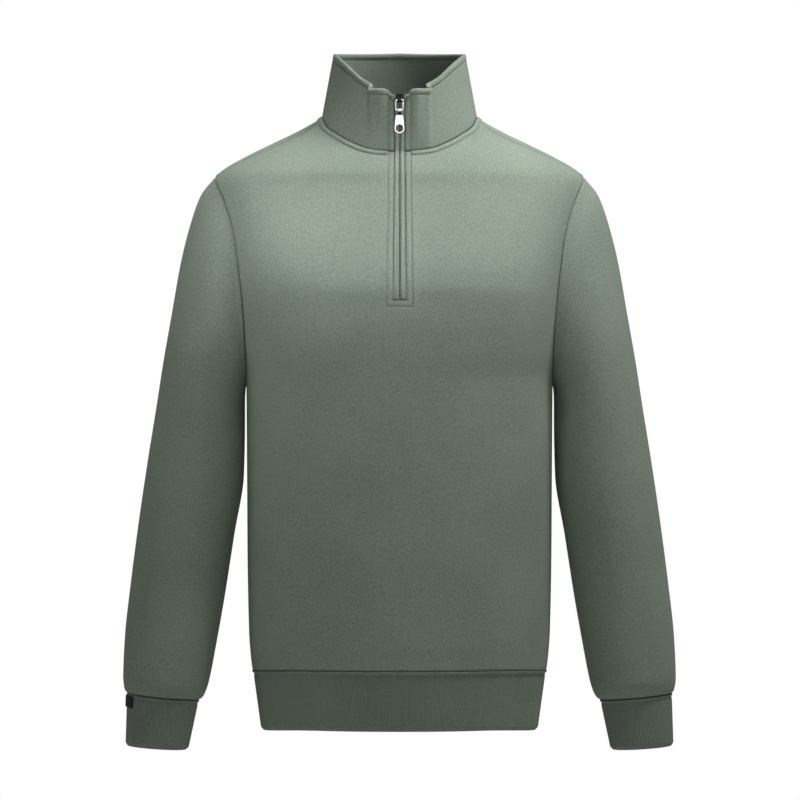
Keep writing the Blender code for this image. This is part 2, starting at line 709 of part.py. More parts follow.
def make_cuff_tab():
    """A small folded tab, sewn flat round the outer side of the cuff at -X."""
    degrees = np.linspace(-TAB_HALF_DEGREES, TAB_HALF_DEGREES, TAB_COLUMNS)
    top_z, bottom_z = CUFF_TOP["outer"][1], CUFF_BOTTOM["outer"][1]
    shares = [(z - top_z) / (bottom_z - top_z) for z in (TAB_Z_TOP, TAB_Z_BOTTOM)]
    base = np.stack([cuff_ring(share, degrees) for share in shares])
    normals = np.stack([ring_normals(cuff_ring, share, degrees) for share in shares])
    inner = base + normals * (RIB_RELIEF + SURFACE_GAP)
    quads = grid_quads(len(shares), TAB_COLUMNS)
    return add_wall("cuff_tab", inner + normals * TAB_THICK, inner, quads, TAB_WEAVE, mirrored=True)


# Collar


def collar_ring(degrees, share):
    """The collar's smooth outer form: share 0 is the seam, share 1 the top edge."""
    base = neck_edge(degrees)
    angle = np.radians(degrees)
    side, fore = np.sin(angle), -np.cos(angle)
    depth = np.where(fore < 0, COLLAR_TOP_FRONT, COLLAR_TOP_BACK)
    radius = ((side / COLLAR_HALF_WIDTH) ** 2 + (fore / depth) ** 2) ** -0.5
    keys = column(COLLAR_TOP, COLLAR_TOP_COLUMNS, "degrees_from_front")
    z = smooth_through(keys, column(COLLAR_TOP, COLLAR_TOP_COLUMNS, "z"), degrees)
    top = np.stack([radius * side, radius * fore, z], axis=-1)
    base = base + [0, 0, SURFACE_GAP + SEAM_INSET]
    return base + (top - base) * share


def collar_half(tucks):
    """One side of the collar, from its slot edge in front to the middle of the back, at +X."""
    shares = column(COLLAR_PROFILE, COLLAR_PROFILE_COLUMNS, "share")
    grid = np.stack([collar_ring(np.array(COLLAR_DEGREES), share) for share in shares])
    tuck_keys = column(CREASE_TUCK, CREASE_TUCK_COLUMNS, "share")
    tuck = smooth_through(tuck_keys, column(CREASE_TUCK, CREASE_TUCK_COLUMNS, tucks), shares)[:, None]
    in_front = (np.array(COLLAR_DEGREES) < 90)[None, :]
    from_crease = (grid[..., 0] - CREASE_X) / CREASE_REACH
    swing = CREASE_SWING * tuck * from_crease * np.exp(-(from_crease**2) / 2)
    proud = 0.5 - 0.5 * np.tanh(CREASE_SHARPNESS * from_crease)
    forward = CREASE_FORWARD * tuck * proud * smoothstep(grid[..., 0] / CREASE_X)
    grid[..., 0] -= np.where(in_front, swing, 0.0)
    grid[..., 1] -= np.where(in_front, forward, 0.0)
    grid[:, 0, 0] = SLOT_HALF_TOP
    return grid


def make_collar():
    right, left = collar_half("right_tuck"), collar_half("left_tuck")
    grid = np.concatenate([right, left[:, -2::-1] * [-1, 1, 1]], axis=1)
    normals = grid_normals(grid)
    outward = column(COLLAR_PROFILE, COLLAR_PROFILE_COLUMNS, "outward")[:, None, None]
    thickness = column(COLLAR_PROFILE, COLLAR_PROFILE_COLUMNS, "thickness")[:, None, None]
    outer = grid + normals * outward
    inner = outer - normals * thickness
    return add_wall("collar", outer, inner, mirror_quads(outer), FLEECE)


def make_neck_band(panels):
    """The topstitched band on the body just under the collar seam, from one zip edge round to the other."""
    front, back = neck_stations()
    start = math.degrees(math.atan2(NECK_BAND_END_X, -neckline(np.array(0.0))[1]))
    stations = np.concatenate([[start], front[1:], back[1:]])
    half = np.sort(np.concatenate([stations, (stations[:-1] + stations[1:]) / 2]))
    seam = np.concatenate([neck_edge(half), neck_edge(half)[-2::-1] * [-1, 1, 1]])
    normals = torso_normal(seam)
    down = -unit(np.cross(normals, unit(np.gradient(seam, axis=0))))
    across = column(NECK_BAND_PROFILE, NECK_BAND_PROFILE_COLUMNS, "down_from_seam")
    heights = column(NECK_BAND_PROFILE, NECK_BAND_PROFILE_COLUMNS, "height")
    outer, inner = [], []
    for distance, height in zip(across, heights):
        guide = onto_torso(seam + down * distance)
        normal = torso_normal(guide)
        on_body = cast_onto(panels, guide, normal)
        outer.append(on_body + normal * (BAND_GAP + height))
        inner.append(on_body + normal * BAND_GAP)
    outer, inner = np.stack(outer), np.stack(inner)
    return add_wall("neck_band", outer, inner, mirror_quads(outer), FLEECE)


# Zip


def zip_surface(x, z):
    """The outer face of the cloth at the zip and its normals: the front below the seam, the collar above."""
    seam_z = NECKLINE[0][1]
    body = on_front(x, np.minimum(z, seam_z))
    body_normal = torso_normal(body)
    degrees = np.degrees(np.arctan2(x, -neckline(np.array(0.0))[1]))
    base, top = collar_ring(degrees, 0.0), collar_ring(degrees, 1.0)
    share = np.clip((z - base[..., 2]) / (top[..., 2] - base[..., 2]), 0, 1)
    collar = np.stack([x + 0 * z, base[..., 1] + (top - base)[..., 1] * share, z + 0 * x], axis=-1)
    above = (z > seam_z + 1e-6)[..., None]
    at_seam = (np.abs(z - seam_z) <= 1e-6)[..., None]
    forward = np.broadcast_to(np.array([0.0, -1.0, 0.0]), body.shape)
    points = np.where(above, collar, body)
    return points, unit(np.where(above, forward, np.where(at_seam, body_normal + forward, body_normal)))


def make_tape(name, mirrored):
    """One zip tape: it shows in the slot and runs behind the cloth beside it."""
    seam_z = NECKLINE[0][1]
    lower = np.append(slot_rows()[:-1], seam_z - TAPE_BEND_BELOW_SEAM)
    lower[0] += 2 * SURFACE_GAP
    upper = np.linspace(seam_z + TAPE_BEND_ABOVE_SEAM, TAPE_TOP_Z, TAPE_ROWS_ABOVE_SEAM)
    z = np.concatenate([lower, [seam_z], upper])[:, None]
    edge = slot_half(z)
    across = (TAPE_START, TAPE_MIDDLE, edge - TAPE_BEND_START, edge - TAPE_BEND_END, TAPE_HALF)
    x = np.concatenate([at + 0 * z for at in across], axis=1)
    z = np.broadcast_to(z, x.shape)
    points, normals = zip_surface(x, z)
    behind_body, behind_collar = WALL + TAPE_BEHIND, COLLAR_PROFILE[0][2] + TAPE_BEHIND
    behind_seam = behind_collar + TAPE_BEHIND
    behind = np.where(z > seam_z + 1e-6, behind_collar, np.where(z < seam_z - 1e-6, behind_body, behind_seam))
    depth = np.where(x <= edge - TAPE_BEND_START + 1e-9, TAPE_RECESS, behind)[..., None]
    outer = points - normals * depth
    quads = grid_quads(*x.shape)
    return add_wall(name, outer, outer - normals * TAPE_THICK, quads, TAPE, mirrored)


def add_block(name, low, high, finish=GUNMETAL):
    points = [(x, y, z) for x in (low[0], high[0]) for y in (low[1], high[1]) for z in (low[2], high[2])]
    faces = [(0, 1, 3, 2), (4, 6, 7, 5), (0, 4, 5, 1), (2, 3, 7, 6), (0, 2, 6, 4), (1, 5, 7, 3)]
    return add_object(name, points, faces, finish, smooth_degrees=30.0)


def add_extrusion(name, outline, axis, low, high, finish=GUNMETAL):
    """A prism: the outline's pairs fill the two axes other than the given one, in X, Y, Z order."""
    others = [i for i in range(3) if i != axis]
    points = []
    for at in (low, high):
        for pair in outline:
            point = [0.0, 0.0, 0.0]
            point[axis], point[others[0]], point[others[1]] = at, pair[0], pair[1]
            points.append(point)
    count = len(outline)
    sides = [(i, (i + 1) % count, (i + 1) % count + count, i + count) for i in range(count)]
    faces = [tuple(reversed(range(count))), tuple(range(count, 2 * count))] + sides
    area = sum(a[0] * b[1] - b[0] * a[1] for a, b in zip(outline, outline[1:] + outline[:1]))
    if (area < 0) != (axis == 1):
        faces = [tuple(reversed(face)) for face in faces]
    return add_object(name, points, faces, finish, smooth_degrees=30.0)


def circle(centre, radius, sides):
    turn = [2 * math.pi * (i + 0.5) / sides for i in range(sides)]
    return [(centre[0] + radius * math.cos(a), centre[1] + radius * math.sin(a)) for a in turn]


def combine(obj, tool, operation):
    """Joins or cuts with another object, which is then only a helper."""
    step = obj.modifiers.new(operation.lower(), "BOOLEAN")
    step.operation = operation
    step.object = tool
    step.solver = "EXACT"
    tool.hide_render = True
    tool.display_type = "WIRE"


def make_slider():
    """Front and back plates joined above the tapes' ends, with the crown that the link hangs in."""
    tape_front = zip_surface(np.array(TAPE_START), np.array(TAPE_TOP_Z))[0][1] + TAPE_RECESS
    tape_back = tape_front + TAPE_THICK
    plate_back = tape_front - SURFACE_GAP
    plate_front = plate_back - PLATE_THICK
    outline = [
        (-PLATE_BOTTOM_HALF, SLIDER_BOTTOM_Z),
        (PLATE_BOTTOM_HALF, SLIDER_BOTTOM_Z),
        (PLATE_TOP_HALF, SLIDER_TOP_Z - PLATE_CORNER_HEIGHT),
        (PLATE_TOP_HALF - PLATE_CORNER_WIDTH, SLIDER_TOP_Z),
        (-PLATE_TOP_HALF + PLATE_CORNER_WIDTH, SLIDER_TOP_Z),
        (-PLATE_TOP_HALF, SLIDER_TOP_Z - PLATE_CORNER_HEIGHT),
    ]
    slider = add_extrusion("zip_slider", outline, 1, plate_front, plate_back)
    back_plate_front = tape_back + 2 * SURFACE_GAP
    back_low = (-BACK_PLATE_HALF, back_plate_front, SLIDER_BOTTOM_Z)
    back_high = (BACK_PLATE_HALF, back_plate_front + PLATE_THICK, SLIDER_TOP_Z)
    combine(slider, add_block("slider_back_plate", back_low, back_high), "UNION")
    post_low = (-POST_HALF, plate_back - MERGE, TAPE_TOP_Z + SURFACE_GAP)
    post_high = (POST_HALF, back_plate_front + MERGE, SLIDER_TOP_Z - EDGE_STEP)
    combine(slider, add_block("slider_post", post_low, post_high), "UNION")
    crown_front = PULL_Y - CROWN_PAST_AXIS
    crown = [
        (plate_front + MERGE, SLIDER_BOTTOM_Z + EDGE_STEP),
        (crown_front + CROWN_NOSE, SLIDER_BOTTOM_Z + EDGE_STEP),
        (crown_front, SLIDER_BOTTOM_Z + EDGE_STEP + CROWN_NOSE),
        (crown_front, LINK_AXIS_Z + CROWN_ABOVE_AXIS),
        (crown_front + CROWN_SLOPE, SLIDER_TOP_Z - CROWN_SHOULDER),
        (plate_front + MERGE, SLIDER_TOP_Z - EDGE_STEP),
    ]
    combine(slider, add_extrusion("slider_crown", crown, 0, -CROWN_HALF_WIDTH, CROWN_HALF_WIDTH), "UNION")
    tunnel = circle((PULL_Y, LINK_AXIS_Z), BAR_RADIUS + RUNNING_GAP, BORE_SIDES)
    half = CROWN_HALF_WIDTH + MERGE
    combine(slider, add_extrusion("slider_tunnel", tunnel, 0, -half, half), "DIFFERENCE")
    return slider


def make_link():
    """A round bar bent into a closed link, with a bar at each of its two pivots."""
    half_x = LINK_HALF_WIDTH - BAR_RADIUS
    path = []
    for sign_x, sign_z, start in ((1, 1, 0), (-1, 1, 90), (-1, -1, 180), (1, -1, 270)):
        middle_z = LINK_AXIS_Z - LINK_CORNER if sign_z > 0 else TAG_AXIS_Z + LINK_CORNER
        for i in range(LINK_CORNER_POINTS):
            turn = math.radians(start + 90 * i / (LINK_CORNER_POINTS - 1))
            out = np.array([math.cos(turn), 0.0, math.sin(turn)])
            centre = np.array([sign_x * (half_x - LINK_CORNER), PULL_Y, middle_z])
            path.append((centre + out * LINK_CORNER, out))
    points = []
    for centre, out in path:
        for j in range(LINK_SIDES):
            turn = 2 * math.pi * (j + 0.5) / LINK_SIDES
            sideways = np.array([0.0, math.sin(turn), 0.0])
            points.append(centre + (out * math.cos(turn) + sideways) * BAR_RADIUS)
    count = len(path)
    faces = []
    for i in range(count):
        for j in range(LINK_SIDES):
            near, far = i * LINK_SIDES, (i + 1) % count * LINK_SIDES
            after = (j + 1) % LINK_SIDES
            faces.append((near + j, near + after, far + after, far + j))
    return add_object("zip_link", points, faces, CHROME)


def make_tag():
    """The tapered pull tag, with a finger hole and an eye round the link's lower bar."""
    turns = [math.pi * (1 + i / TAG_ROUND_STEPS) for i in range(TAG_ROUND_STEPS + 1)]
    round_end = [
        (TAG_ROUND_RADIUS * math.cos(turn), TAG_HOLE_Z + TAG_ROUND_RADIUS * math.sin(turn)) for turn in turns
    ]
    shoulders = [
        (TAG_TOP_HALF, TAG_SHOULDER_Z - TAG_CORNER),
        (TAG_TOP_HALF - TAG_CORNER, TAG_SHOULDER_Z),
        (-TAG_TOP_HALF + TAG_CORNER, TAG_SHOULDER_Z),
        (-TAG_TOP_HALF, TAG_SHOULDER_Z - TAG_CORNER),
    ]
    tag = add_extrusion(
        "zip_tag", round_end + shoulders, 1, PULL_Y - TAG_DEPTH / 2, PULL_Y + TAG_DEPTH / 2, CHROME
    )
    neck_half = EYE_HALF_WIDTH - EDGE_STEP
    neck_low = (-neck_half, PULL_Y - TAG_DEPTH / 2 + EDGE_STEP, TAG_SHOULDER_Z - TAG_NECK_REACH)
    neck_high = (neck_half, PULL_Y + TAG_DEPTH / 2 - EDGE_STEP, TAG_AXIS_Z - EYE_INNER - EDGE_STEP)
    combine(tag, add_block("tag_neck", neck_low, neck_high), "UNION")
    eye = circle((PULL_Y, TAG_AXIS_Z), EYE_OUTER, BORE_SIDES)
    combine(tag, add_extrusion("tag_eye", eye, 0, -EYE_HALF_WIDTH, EYE_HALF_WIDTH), "UNION")
    bore = circle((PULL_Y, TAG_AXIS_Z), EYE_INNER, BORE_SIDES)
    combine(tag, add_extrusion("tag_bore", bore, 0, -2 * EYE_HALF_WIDTH, 2 * EYE_HALF_WIDTH), "DIFFERENCE")
    hole = circle((0.0, TAG_HOLE_Z), TAG_HOLE_RADIUS, TAG_HOLE_SIDES)
    combine(tag, add_extrusion("tag_hole", hole, 1, PULL_Y - TAG_DEPTH, PULL_Y + TAG_DEPTH), "DIFFERENCE")
    return tag


def main():
    for old in list(bpy.data.objects):
        bpy.data.objects.remove(old)
    panels = [make_front(), make_back()]
    bpy.context.view_layer.update()
    for side, mirrored in (("left", False), ("right", True)):
        make_sleeve(f"sleeve_{side}", mirrored)
        make_ribbed_band(f"cuff_{side}", cuff_ring, CUFF_RIBS, CUFF_INNER_SIDES, CUFF_WALL, mirrored)
        make_tape(f"zip_tape_{side}", mirrored)
    make_ribbed_band("hem_band", hem_ring, HEM_RIBS, HEM_INNER_SIDES, HEM_WALL)
    make_collar()
    make_neck_band(panels)
    make_slider()
    make_link()
    make_tag()
    make_cuff_tab()


main()
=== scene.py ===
"""Looks of the quarter-zip pullover sweatshirt: fine knitted shells on the forms of its solids, with seams,
ribs, stitches, zip and metal pull, soft studio light and a camera straight in front.

Metres, +Z up, the front faces -Y. The forms are those of the part, worked out more finely: a table of
level sections for the torso, one of sections for the sleeves, and rings for the rib bands and collar.
Here the chest is a little fuller than in the solids, the armholes' front lies further forward, and the
hem and cuff seams are a little higher.
"""

import math

import bmesh
import bpy
import mathutils
import numpy as np
from mathutils.bvhtree import BVHTree
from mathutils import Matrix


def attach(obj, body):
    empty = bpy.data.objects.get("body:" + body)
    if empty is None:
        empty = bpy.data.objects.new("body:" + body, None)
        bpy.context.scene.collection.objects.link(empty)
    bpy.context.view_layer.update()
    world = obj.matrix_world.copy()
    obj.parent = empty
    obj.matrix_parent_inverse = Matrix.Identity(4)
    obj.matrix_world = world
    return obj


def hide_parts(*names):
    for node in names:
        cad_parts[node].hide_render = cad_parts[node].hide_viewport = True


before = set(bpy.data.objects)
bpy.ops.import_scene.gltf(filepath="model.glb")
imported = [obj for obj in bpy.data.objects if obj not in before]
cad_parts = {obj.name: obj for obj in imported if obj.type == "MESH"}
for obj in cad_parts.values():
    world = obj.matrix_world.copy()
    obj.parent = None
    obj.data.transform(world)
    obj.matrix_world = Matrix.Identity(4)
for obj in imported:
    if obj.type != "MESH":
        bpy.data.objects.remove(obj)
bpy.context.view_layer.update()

# Cloth
WALL = 0.0022
SEAM_GAP = 0.0002
MIRROR = np.array([-1, 1, 1])

# Working out the forms
SMALLEST = 1e-12
GRADIENT_STEP = 1e-5
NEWTON_ROUNDS = 5

# Torso: level sections, each a superellipse
TORSO_COLUMNS = ("z", "half_width", "front", "back", "roundness")
TORSO = (
    (-0.6400, 0.1675, 0.1115, 0.1070, 2.30),
    (-0.6200, 0.1702, 0.1124, 0.1080, 2.30),
    (-0.5900, 0.1724, 0.1132, 0.1085, 2.30),
    (-0.5000, 0.1742, 0.1152, 0.1090, 2.30),
    (-0.4000, 0.1748, 0.1190, 0.1110, 2.30),
    (-0.3055, 0.1756, 0.1255, 0.1150, 2.35),
    (-0.2700, 0.1799, 0.1296, 0.1170, 2.50),
    (-0.2320, 0.1842, 0.1328, 0.1185, 2.66),
    (-0.2050, 0.1873, 0.1325, 0.1190, 2.74),
    (-0.1840, 0.1911, 0.1282, 0.1190, 2.74),
    (-0.1630, 0.1957, 0.1219, 0.1180, 2.68),
    (-0.1430, 0.2006, 0.1147, 0.1165, 2.58),
    (-0.1210, 0.2069, 0.1066, 0.1140, 2.45),
    (-0.1000, 0.2124, 0.0990, 0.1110, 2.32),
    (-0.0800, 0.2149, 0.0918, 0.1075, 2.20),
    (-0.0683, 0.2116, 0.0888, 0.1045, 2.12),
    (-0.0598, 0.2024, 0.0838, 0.1020, 2.10),
    (-0.0460, 0.1788, 0.0740, 0.0970, 2.08),
    (-0.0322, 0.1512, 0.0612, 0.0920, 2.05),
    (-0.0184, 0.1225, 0.0487, 0.0860, 2.02),
    (-0.0046, 0.0972, 0.0420, 0.0775, 2.00),
    (0.0020, 0.0875, 0.0390, 0.0730, 2.00),
    (0.0090, 0.0760, 0.0340, 0.0660, 2.00),
    (0.0180, 0.0600, 0.0260, 0.0560, 2.00),
)
HEM_SEAM_Z = -0.6336
HEM_SEAM_RISE = 0.0048
HEM_RISE_REACH = 0.72
ARMHOLE_TOP_Z = -0.0683
UNDERARM_Z = -0.3055
ARMHOLE_FRONT = 0.062
ARMHOLE_BACK = 0.056
SHOULDER_SEAM_ANGLE = 14.0
NECKLINE_COLUMNS = ("degrees_from_front", "z")
NECKLINE = (
    (0.0, -0.0430),
    (10.0, -0.0425),
    (26.5, -0.0402),
    (44.0, -0.0318),
    (63.7, -0.0180),
    (85.0, 0.0000),
    (100.0, 0.0030),
    (130.0, 0.0060),
    (180.0, 0.0080),
)
NECK_END_DEGREES = 80.0
SHOULDER_SEAM_COLUMNS = ("share", "forward_of_straight")
SHOULDER_LOWEST = -0.10
SHOULDER_HIGHEST = 0.015
SHOULDER_HALVINGS = 40
SHOULDER_SEAM_BOW = ((0.0, 0.0), (0.25, 0.009), (0.5, 0.012), (0.75, 0.009), (1.0, 0.0))

# Zip
SLOT_HALF_TOP = 0.0064
SLOT_HALF_BOTTOM = 0.0078
SLOT_BOTTOM_Z = -0.2131
TAPE_TOP_Z = 0.0195

# Sleeve: sections from the armhole to the cuff seam
SLEEVE_COLUMNS = ("share", "outer_x", "outer_z", "inner_x", "inner_z", "half_depth", "centre_y")
SLEEVE = (
    (0.000, 0.2116, -0.0683, 0.1760, -0.3058, 0.059, -0.003),
    (0.035, 0.2280, -0.0885, 0.1767, -0.3080, 0.063, -0.001),
    (0.085, 0.2415, -0.1260, 0.1772, -0.3110, 0.066, 0.001),
    (0.145, 0.2519, -0.1679, 0.1775, -0.3150, 0.0670, 0.0035),
    (0.215, 0.2616, -0.2230, 0.1778, -0.3215, 0.0672, 0.0048),
    (0.290, 0.2714, -0.2783, 0.1780, -0.3330, 0.0665, 0.006),
    (0.370, 0.2800, -0.3335, 0.1782, -0.3600, 0.065, 0.006),
    (0.470, 0.2900, -0.3960, 0.1795, -0.4120, 0.0625, 0.005),
    (0.580, 0.2996, -0.4623, 0.1900, -0.4770, 0.059, 0.002),
    (0.700, 0.3088, -0.5360, 0.2013, -0.5510, 0.054, -0.005),
    (0.800, 0.3145, -0.5910, 0.2108, -0.6060, 0.050, -0.012),
    (0.875, 0.3160, -0.6230, 0.2165, -0.6370, 0.047, -0.017),
    (0.925, 0.3163, -0.6400, 0.2202, -0.6525, 0.0445, -0.020),
    (0.970, 0.3148, -0.6535, 0.2250, -0.6630, 0.0390, -0.0215),
    (1.000, 0.3118, -0.6590, 0.2294, -0.6666, 0.0344, -0.022),
)
ARMHOLE_FADE = 0.30
UNDERARM_CLEAR = 0.0004
UNDERARM_CLEAR_REACH = 0.03
# Steps round the armhole and along the sleeve from which their directions are taken
ARMHOLE_STEP_DEGREES = 0.5
ARMHOLE_STEP_SHARE = 0.004
# Where the cosine between the panel's wall and the sleeve's is FOLDED_BACK, each keeps its own direction
FOLDED_BACK = -0.6
FOLDED_SPAN = 0.8

# Cuffs and hem band
CUFF_TOP = {"outer": (0.3114, -0.6594), "inner": (0.2298, -0.6670), "half_depth": 0.0342, "y": -0.022}
CUFF_BOTTOM = {"outer": (0.3130, -0.7190), "inner": (0.2418, -0.7242), "half_depth": 0.0275, "y": -0.027}
CUFF_RIBS = 70
CUFF_WALL = 0.0026
HEM_TOP = {"half_width": 0.1680, "front": 0.1112, "back": 0.1067, "z": -0.6340, "rise": 0.0048}
HEM_BOTTOM = {"half_width": 0.1585, "front": 0.1045, "back": 0.1005, "z": -0.7030, "rise": 0.0052}
HEM_RIBS = 330
HEM_WALL = 0.0028

# Collar
COLLAR_HALF_WIDTH = 0.0758
COLLAR_TOP_FRONT = 0.0745
COLLAR_TOP_BACK = 0.0520
COLLAR_TOP_COLUMNS = ("degrees_from_front", "z")
COLLAR_TOP = (
    (0.0, 0.0186),
    (5.0, 0.0188),
    (6.6, 0.0206),
    (8.6, 0.0248),
    (10.6, 0.0270),
    (12.8, 0.0277),
    (18.0, 0.0280),
    (24.0, 0.0280),
    (30.0, 0.0348),
    (45.0, 0.0500),
    (60.0, 0.0625),
    (75.0, 0.0700),
    (90.0, 0.0735),
    (120.0, 0.0765),
    (180.0, 0.0790),
)
COLLAR_PROFILE_COLUMNS = ("share", "outward", "thickness")
COLLAR_PROFILE = (
    (0.000, 0.0000, 0.0032),
    (0.870, 0.0000, 0.0032),
    (0.888, -0.0002, 0.0029),
    (0.901, -0.0009, 0.0021),
    (0.914, 0.0000, 0.0034),
    (0.934, 0.0006, 0.0047),
    (0.957, 0.0007, 0.0053),
    (0.978, 0.0004, 0.0048),
    (0.991, -0.0003, 0.0036),
    (1.000, -0.0013, 0.0014),
)
CREASE_X = 0.0350
CREASE_REACH = 0.0040
CREASE_FORWARD = 0.0066
CREASE_RAMP = 0.016
RIM_PROUD_BEHIND = 0.35
CREASE_TUCK_COLUMNS = ("share", "left_tuck", "right_tuck")
CREASE_TUCK = (
    (0.00, 0.00, 0.00),
    (0.30, 0.10, 0.55),
    (0.60, 0.45, 0.85),
    (0.85, 0.85, 1.00),
    (1.00, 1.00, 1.12),
)
CREASE_SWING = 0.0054
CREASE_SHARPNESS = 1.9


def smooth_through(keys, values, at):
    """A smooth curve through the table's points that doesn't overshoot them (monotone cubic)."""
    keys, values = np.asarray(keys, float), np.asarray(values, float)
    at = np.clip(np.asarray(at, float), keys[0], keys[-1])
    steps = np.diff(keys)
    slopes = np.diff(values) / steps
    tangents = np.empty_like(values)
    tangents[0], tangents[-1] = slopes[0], slopes[-1]
    same_way = slopes[:-1] * slopes[1:] > 0
    total = np.where(same_way, slopes[:-1] + slopes[1:], 1.0)
    tangents[1:-1] = np.where(same_way, 2 * slopes[:-1] * slopes[1:] / total, 0.0)
    span = np.clip(np.searchsorted(keys, at, side="right") - 1, 0, len(steps) - 1)
    step = steps[span]
    t = (at - keys[span]) / step
    rise = values[span + 1] - values[span]
    start, end = tangents[span] * step, tangents[span + 1] * step
    return values[span] + t * (start + t * (3 * rise - 2 * start - end + t * (start + end - 2 * rise)))


def table_curve(table, names, name, at):
    """A table's named column as a smooth curve over its first one."""
    rows = np.array(table, dtype=float)
    return smooth_through(rows[:, 0], rows[:, names.index(name)], at)


def unit(vectors):
    return vectors / np.maximum(np.linalg.norm(vectors, axis=-1, keepdims=True), SMALLEST)


def smoothstep(x):
    x = np.clip(x, 0.0, 1.0)
    return x * x * (3 - 2 * x)


def bell(x, width):
    """1 at zero, fading smoothly over the given width."""
    return np.exp(-((x / width) ** 2))


# The torso's form


def torso_value(z, name):
    return table_curve(TORSO, TORSO_COLUMNS, name, z)


def torso_section(y, z):
    """Half width, depth on the side of y, and roundness of the torso's section at a height."""
    depth = np.where(y < 0, torso_value(z, "front"), torso_value(z, "back"))
    return torso_value(z, "half_width"), depth, torso_value(z, "roundness")


def section_reach(x, y, half_width, depth, power):
    """1 on the outline of a section, which is a superellipse, and more outside it."""
    return (np.abs(x / half_width) ** power + np.abs(y / depth) ** power) ** (1 / power)


def outside(points):
    """Zero on the torso's form, positive outside it."""
    x, y, z = points[..., 0], points[..., 1], points[..., 2]
    return section_reach(x, y, *torso_section(y, z)) - 1


def gradient(points):
    parts = []
    for axis in range(3):
        shift = np.zeros(3)
        shift[axis] = GRADIENT_STEP
        parts.append((outside(points + shift) - outside(points - shift)) / (2 * GRADIENT_STEP))
    return np.stack(parts, axis=-1)


def onto_torso(points):
    """The nearest points on the torso's form, by Newton steps along its gradient."""
    for _ in range(NEWTON_ROUNDS):
        slope = gradient(points)
        points = points - slope * (outside(points) / (slope**2).sum(-1))[..., None]
    return points


def torso_normal(points):
    return unit(gradient(points))


def section_point(degrees, z):
    """The point of the torso's form at an angle from the front, towards +X, and a height."""
    side, fore = np.sin(np.radians(degrees)), -np.cos(np.radians(degrees))
    radius = 1 / section_reach(side, fore, *torso_section(fore, z))
    return np.stack([radius * side, radius * fore, z + 0 * radius], axis=-1)


def neckline(degrees):
    return section_point(degrees, table_curve(NECKLINE, NECKLINE_COLUMNS, "z", degrees))


def neck_degrees(x):
    """The angle of a point of the neckline near the front, by its distance from the middle."""
    return math.degrees(math.atan2(x, -neckline(np.array(0.0))[1]))


def hem_rise(degrees):
    """The share by which the hem is higher in front and behind than at the sides."""
    return smoothstep(np.abs(np.cos(np.radians(degrees))) / HEM_RISE_REACH)


def hem_seam(degrees):
    return section_point(degrees, HEM_SEAM_Z + HEM_SEAM_RISE * hem_rise(degrees))


def armhole(degrees):
    """The armhole at +X: 0 degrees at its top, 90 in front, 180 under the arm, 270 behind."""
    angle = np.radians(degrees)
    middle, half = (ARMHOLE_TOP_Z + UNDERARM_Z) / 2, (ARMHOLE_TOP_Z - UNDERARM_Z) / 2
    z = middle + half * np.cos(angle)
    reach = np.where(np.sin(angle) > 0, ARMHOLE_FRONT, ARMHOLE_BACK)
    y = -reach * np.sin(angle)
    half_width, depth, power = torso_section(y, z)
    x = half_width * (1 - np.abs(y / depth) ** power) ** (1 / power)
    return np.stack([x, y, z], axis=-1)


def shoulder_seam(shares):
    """From the neckline to the armhole, a little forward of the shoulder's ridge."""
    start, end = neckline(np.array(NECK_END_DEGREES)), armhole(np.array(SHOULDER_SEAM_ANGLE))
    shares = np.asarray(shares, float)
    forward = table_curve(SHOULDER_SEAM_BOW, SHOULDER_SEAM_COLUMNS, "forward_of_straight", shares)
    points = start + (end - start) * shares[:, None]
    points[:, 1] -= forward
    low, high = np.full(len(shares), SHOULDER_LOWEST), np.full(len(shares), SHOULDER_HIGHEST)
    for _ in range(SHOULDER_HALVINGS):
        middle = (low + high) / 2
        points[:, 2] = middle
        above = outside(points) > 0
        high, low = np.where(above, middle, high), np.where(above, low, middle)
    points[0], points[-1] = start, end
    return points


def slot_share(z):
    """0 at the zip's lower end and below it, 1 at the collar seam."""
    return np.clip((z - SLOT_BOTTOM_Z) / (NECKLINE[0][1] - SLOT_BOTTOM_Z), 0, 1)


def slot_half(z):
    return SLOT_HALF_BOTTOM + (SLOT_HALF_TOP - SLOT_HALF_BOTTOM) * slot_share(z)


def on_front(x, z):
    half_width, depth, power = torso_section(-1.0, z)
    y = -depth * (1 - np.abs(x / half_width) ** power) ** (1 / power)
    return np.stack([x + 0 * z, y, z + 0 * x], axis=-1)


# Sleeve, cuffs, hem band and collar forms


def sleeve_value(share, name):
    return table_curve(SLEEVE, SLEEVE_COLUMNS, name, share)


def sleeve_ellipse(share, degrees):
    outer_x, outer_z = sleeve_value(share, "outer_x"), sleeve_value(share, "outer_z")
    inner_x, inner_z = sleeve_value(share, "inner_x"), sleeve_value(share, "inner_z")
    out, fore = np.cos(np.radians(degrees)), np.sin(np.radians(degrees))
    x = (outer_x + inner_x) / 2 + (outer_x - inner_x) / 2 * out
    y = sleeve_value(share, "centre_y") - sleeve_value(share, "half_depth") * fore
    z = (outer_z + inner_z) / 2 + (outer_z - inner_z) / 2 * out
    return np.stack([x, y, z], axis=-1)


def sleeve_point(share, degrees):
    """The sleeve at +X: 0 degrees on its outer side, 90 in front. It starts as the armhole."""
    difference = armhole(degrees) - sleeve_ellipse(0.0, degrees)
    fade = 1 - smoothstep(np.asarray(share) / ARMHOLE_FADE)
    return sleeve_ellipse(share, degrees) + difference * np.asarray(fade)[..., None]


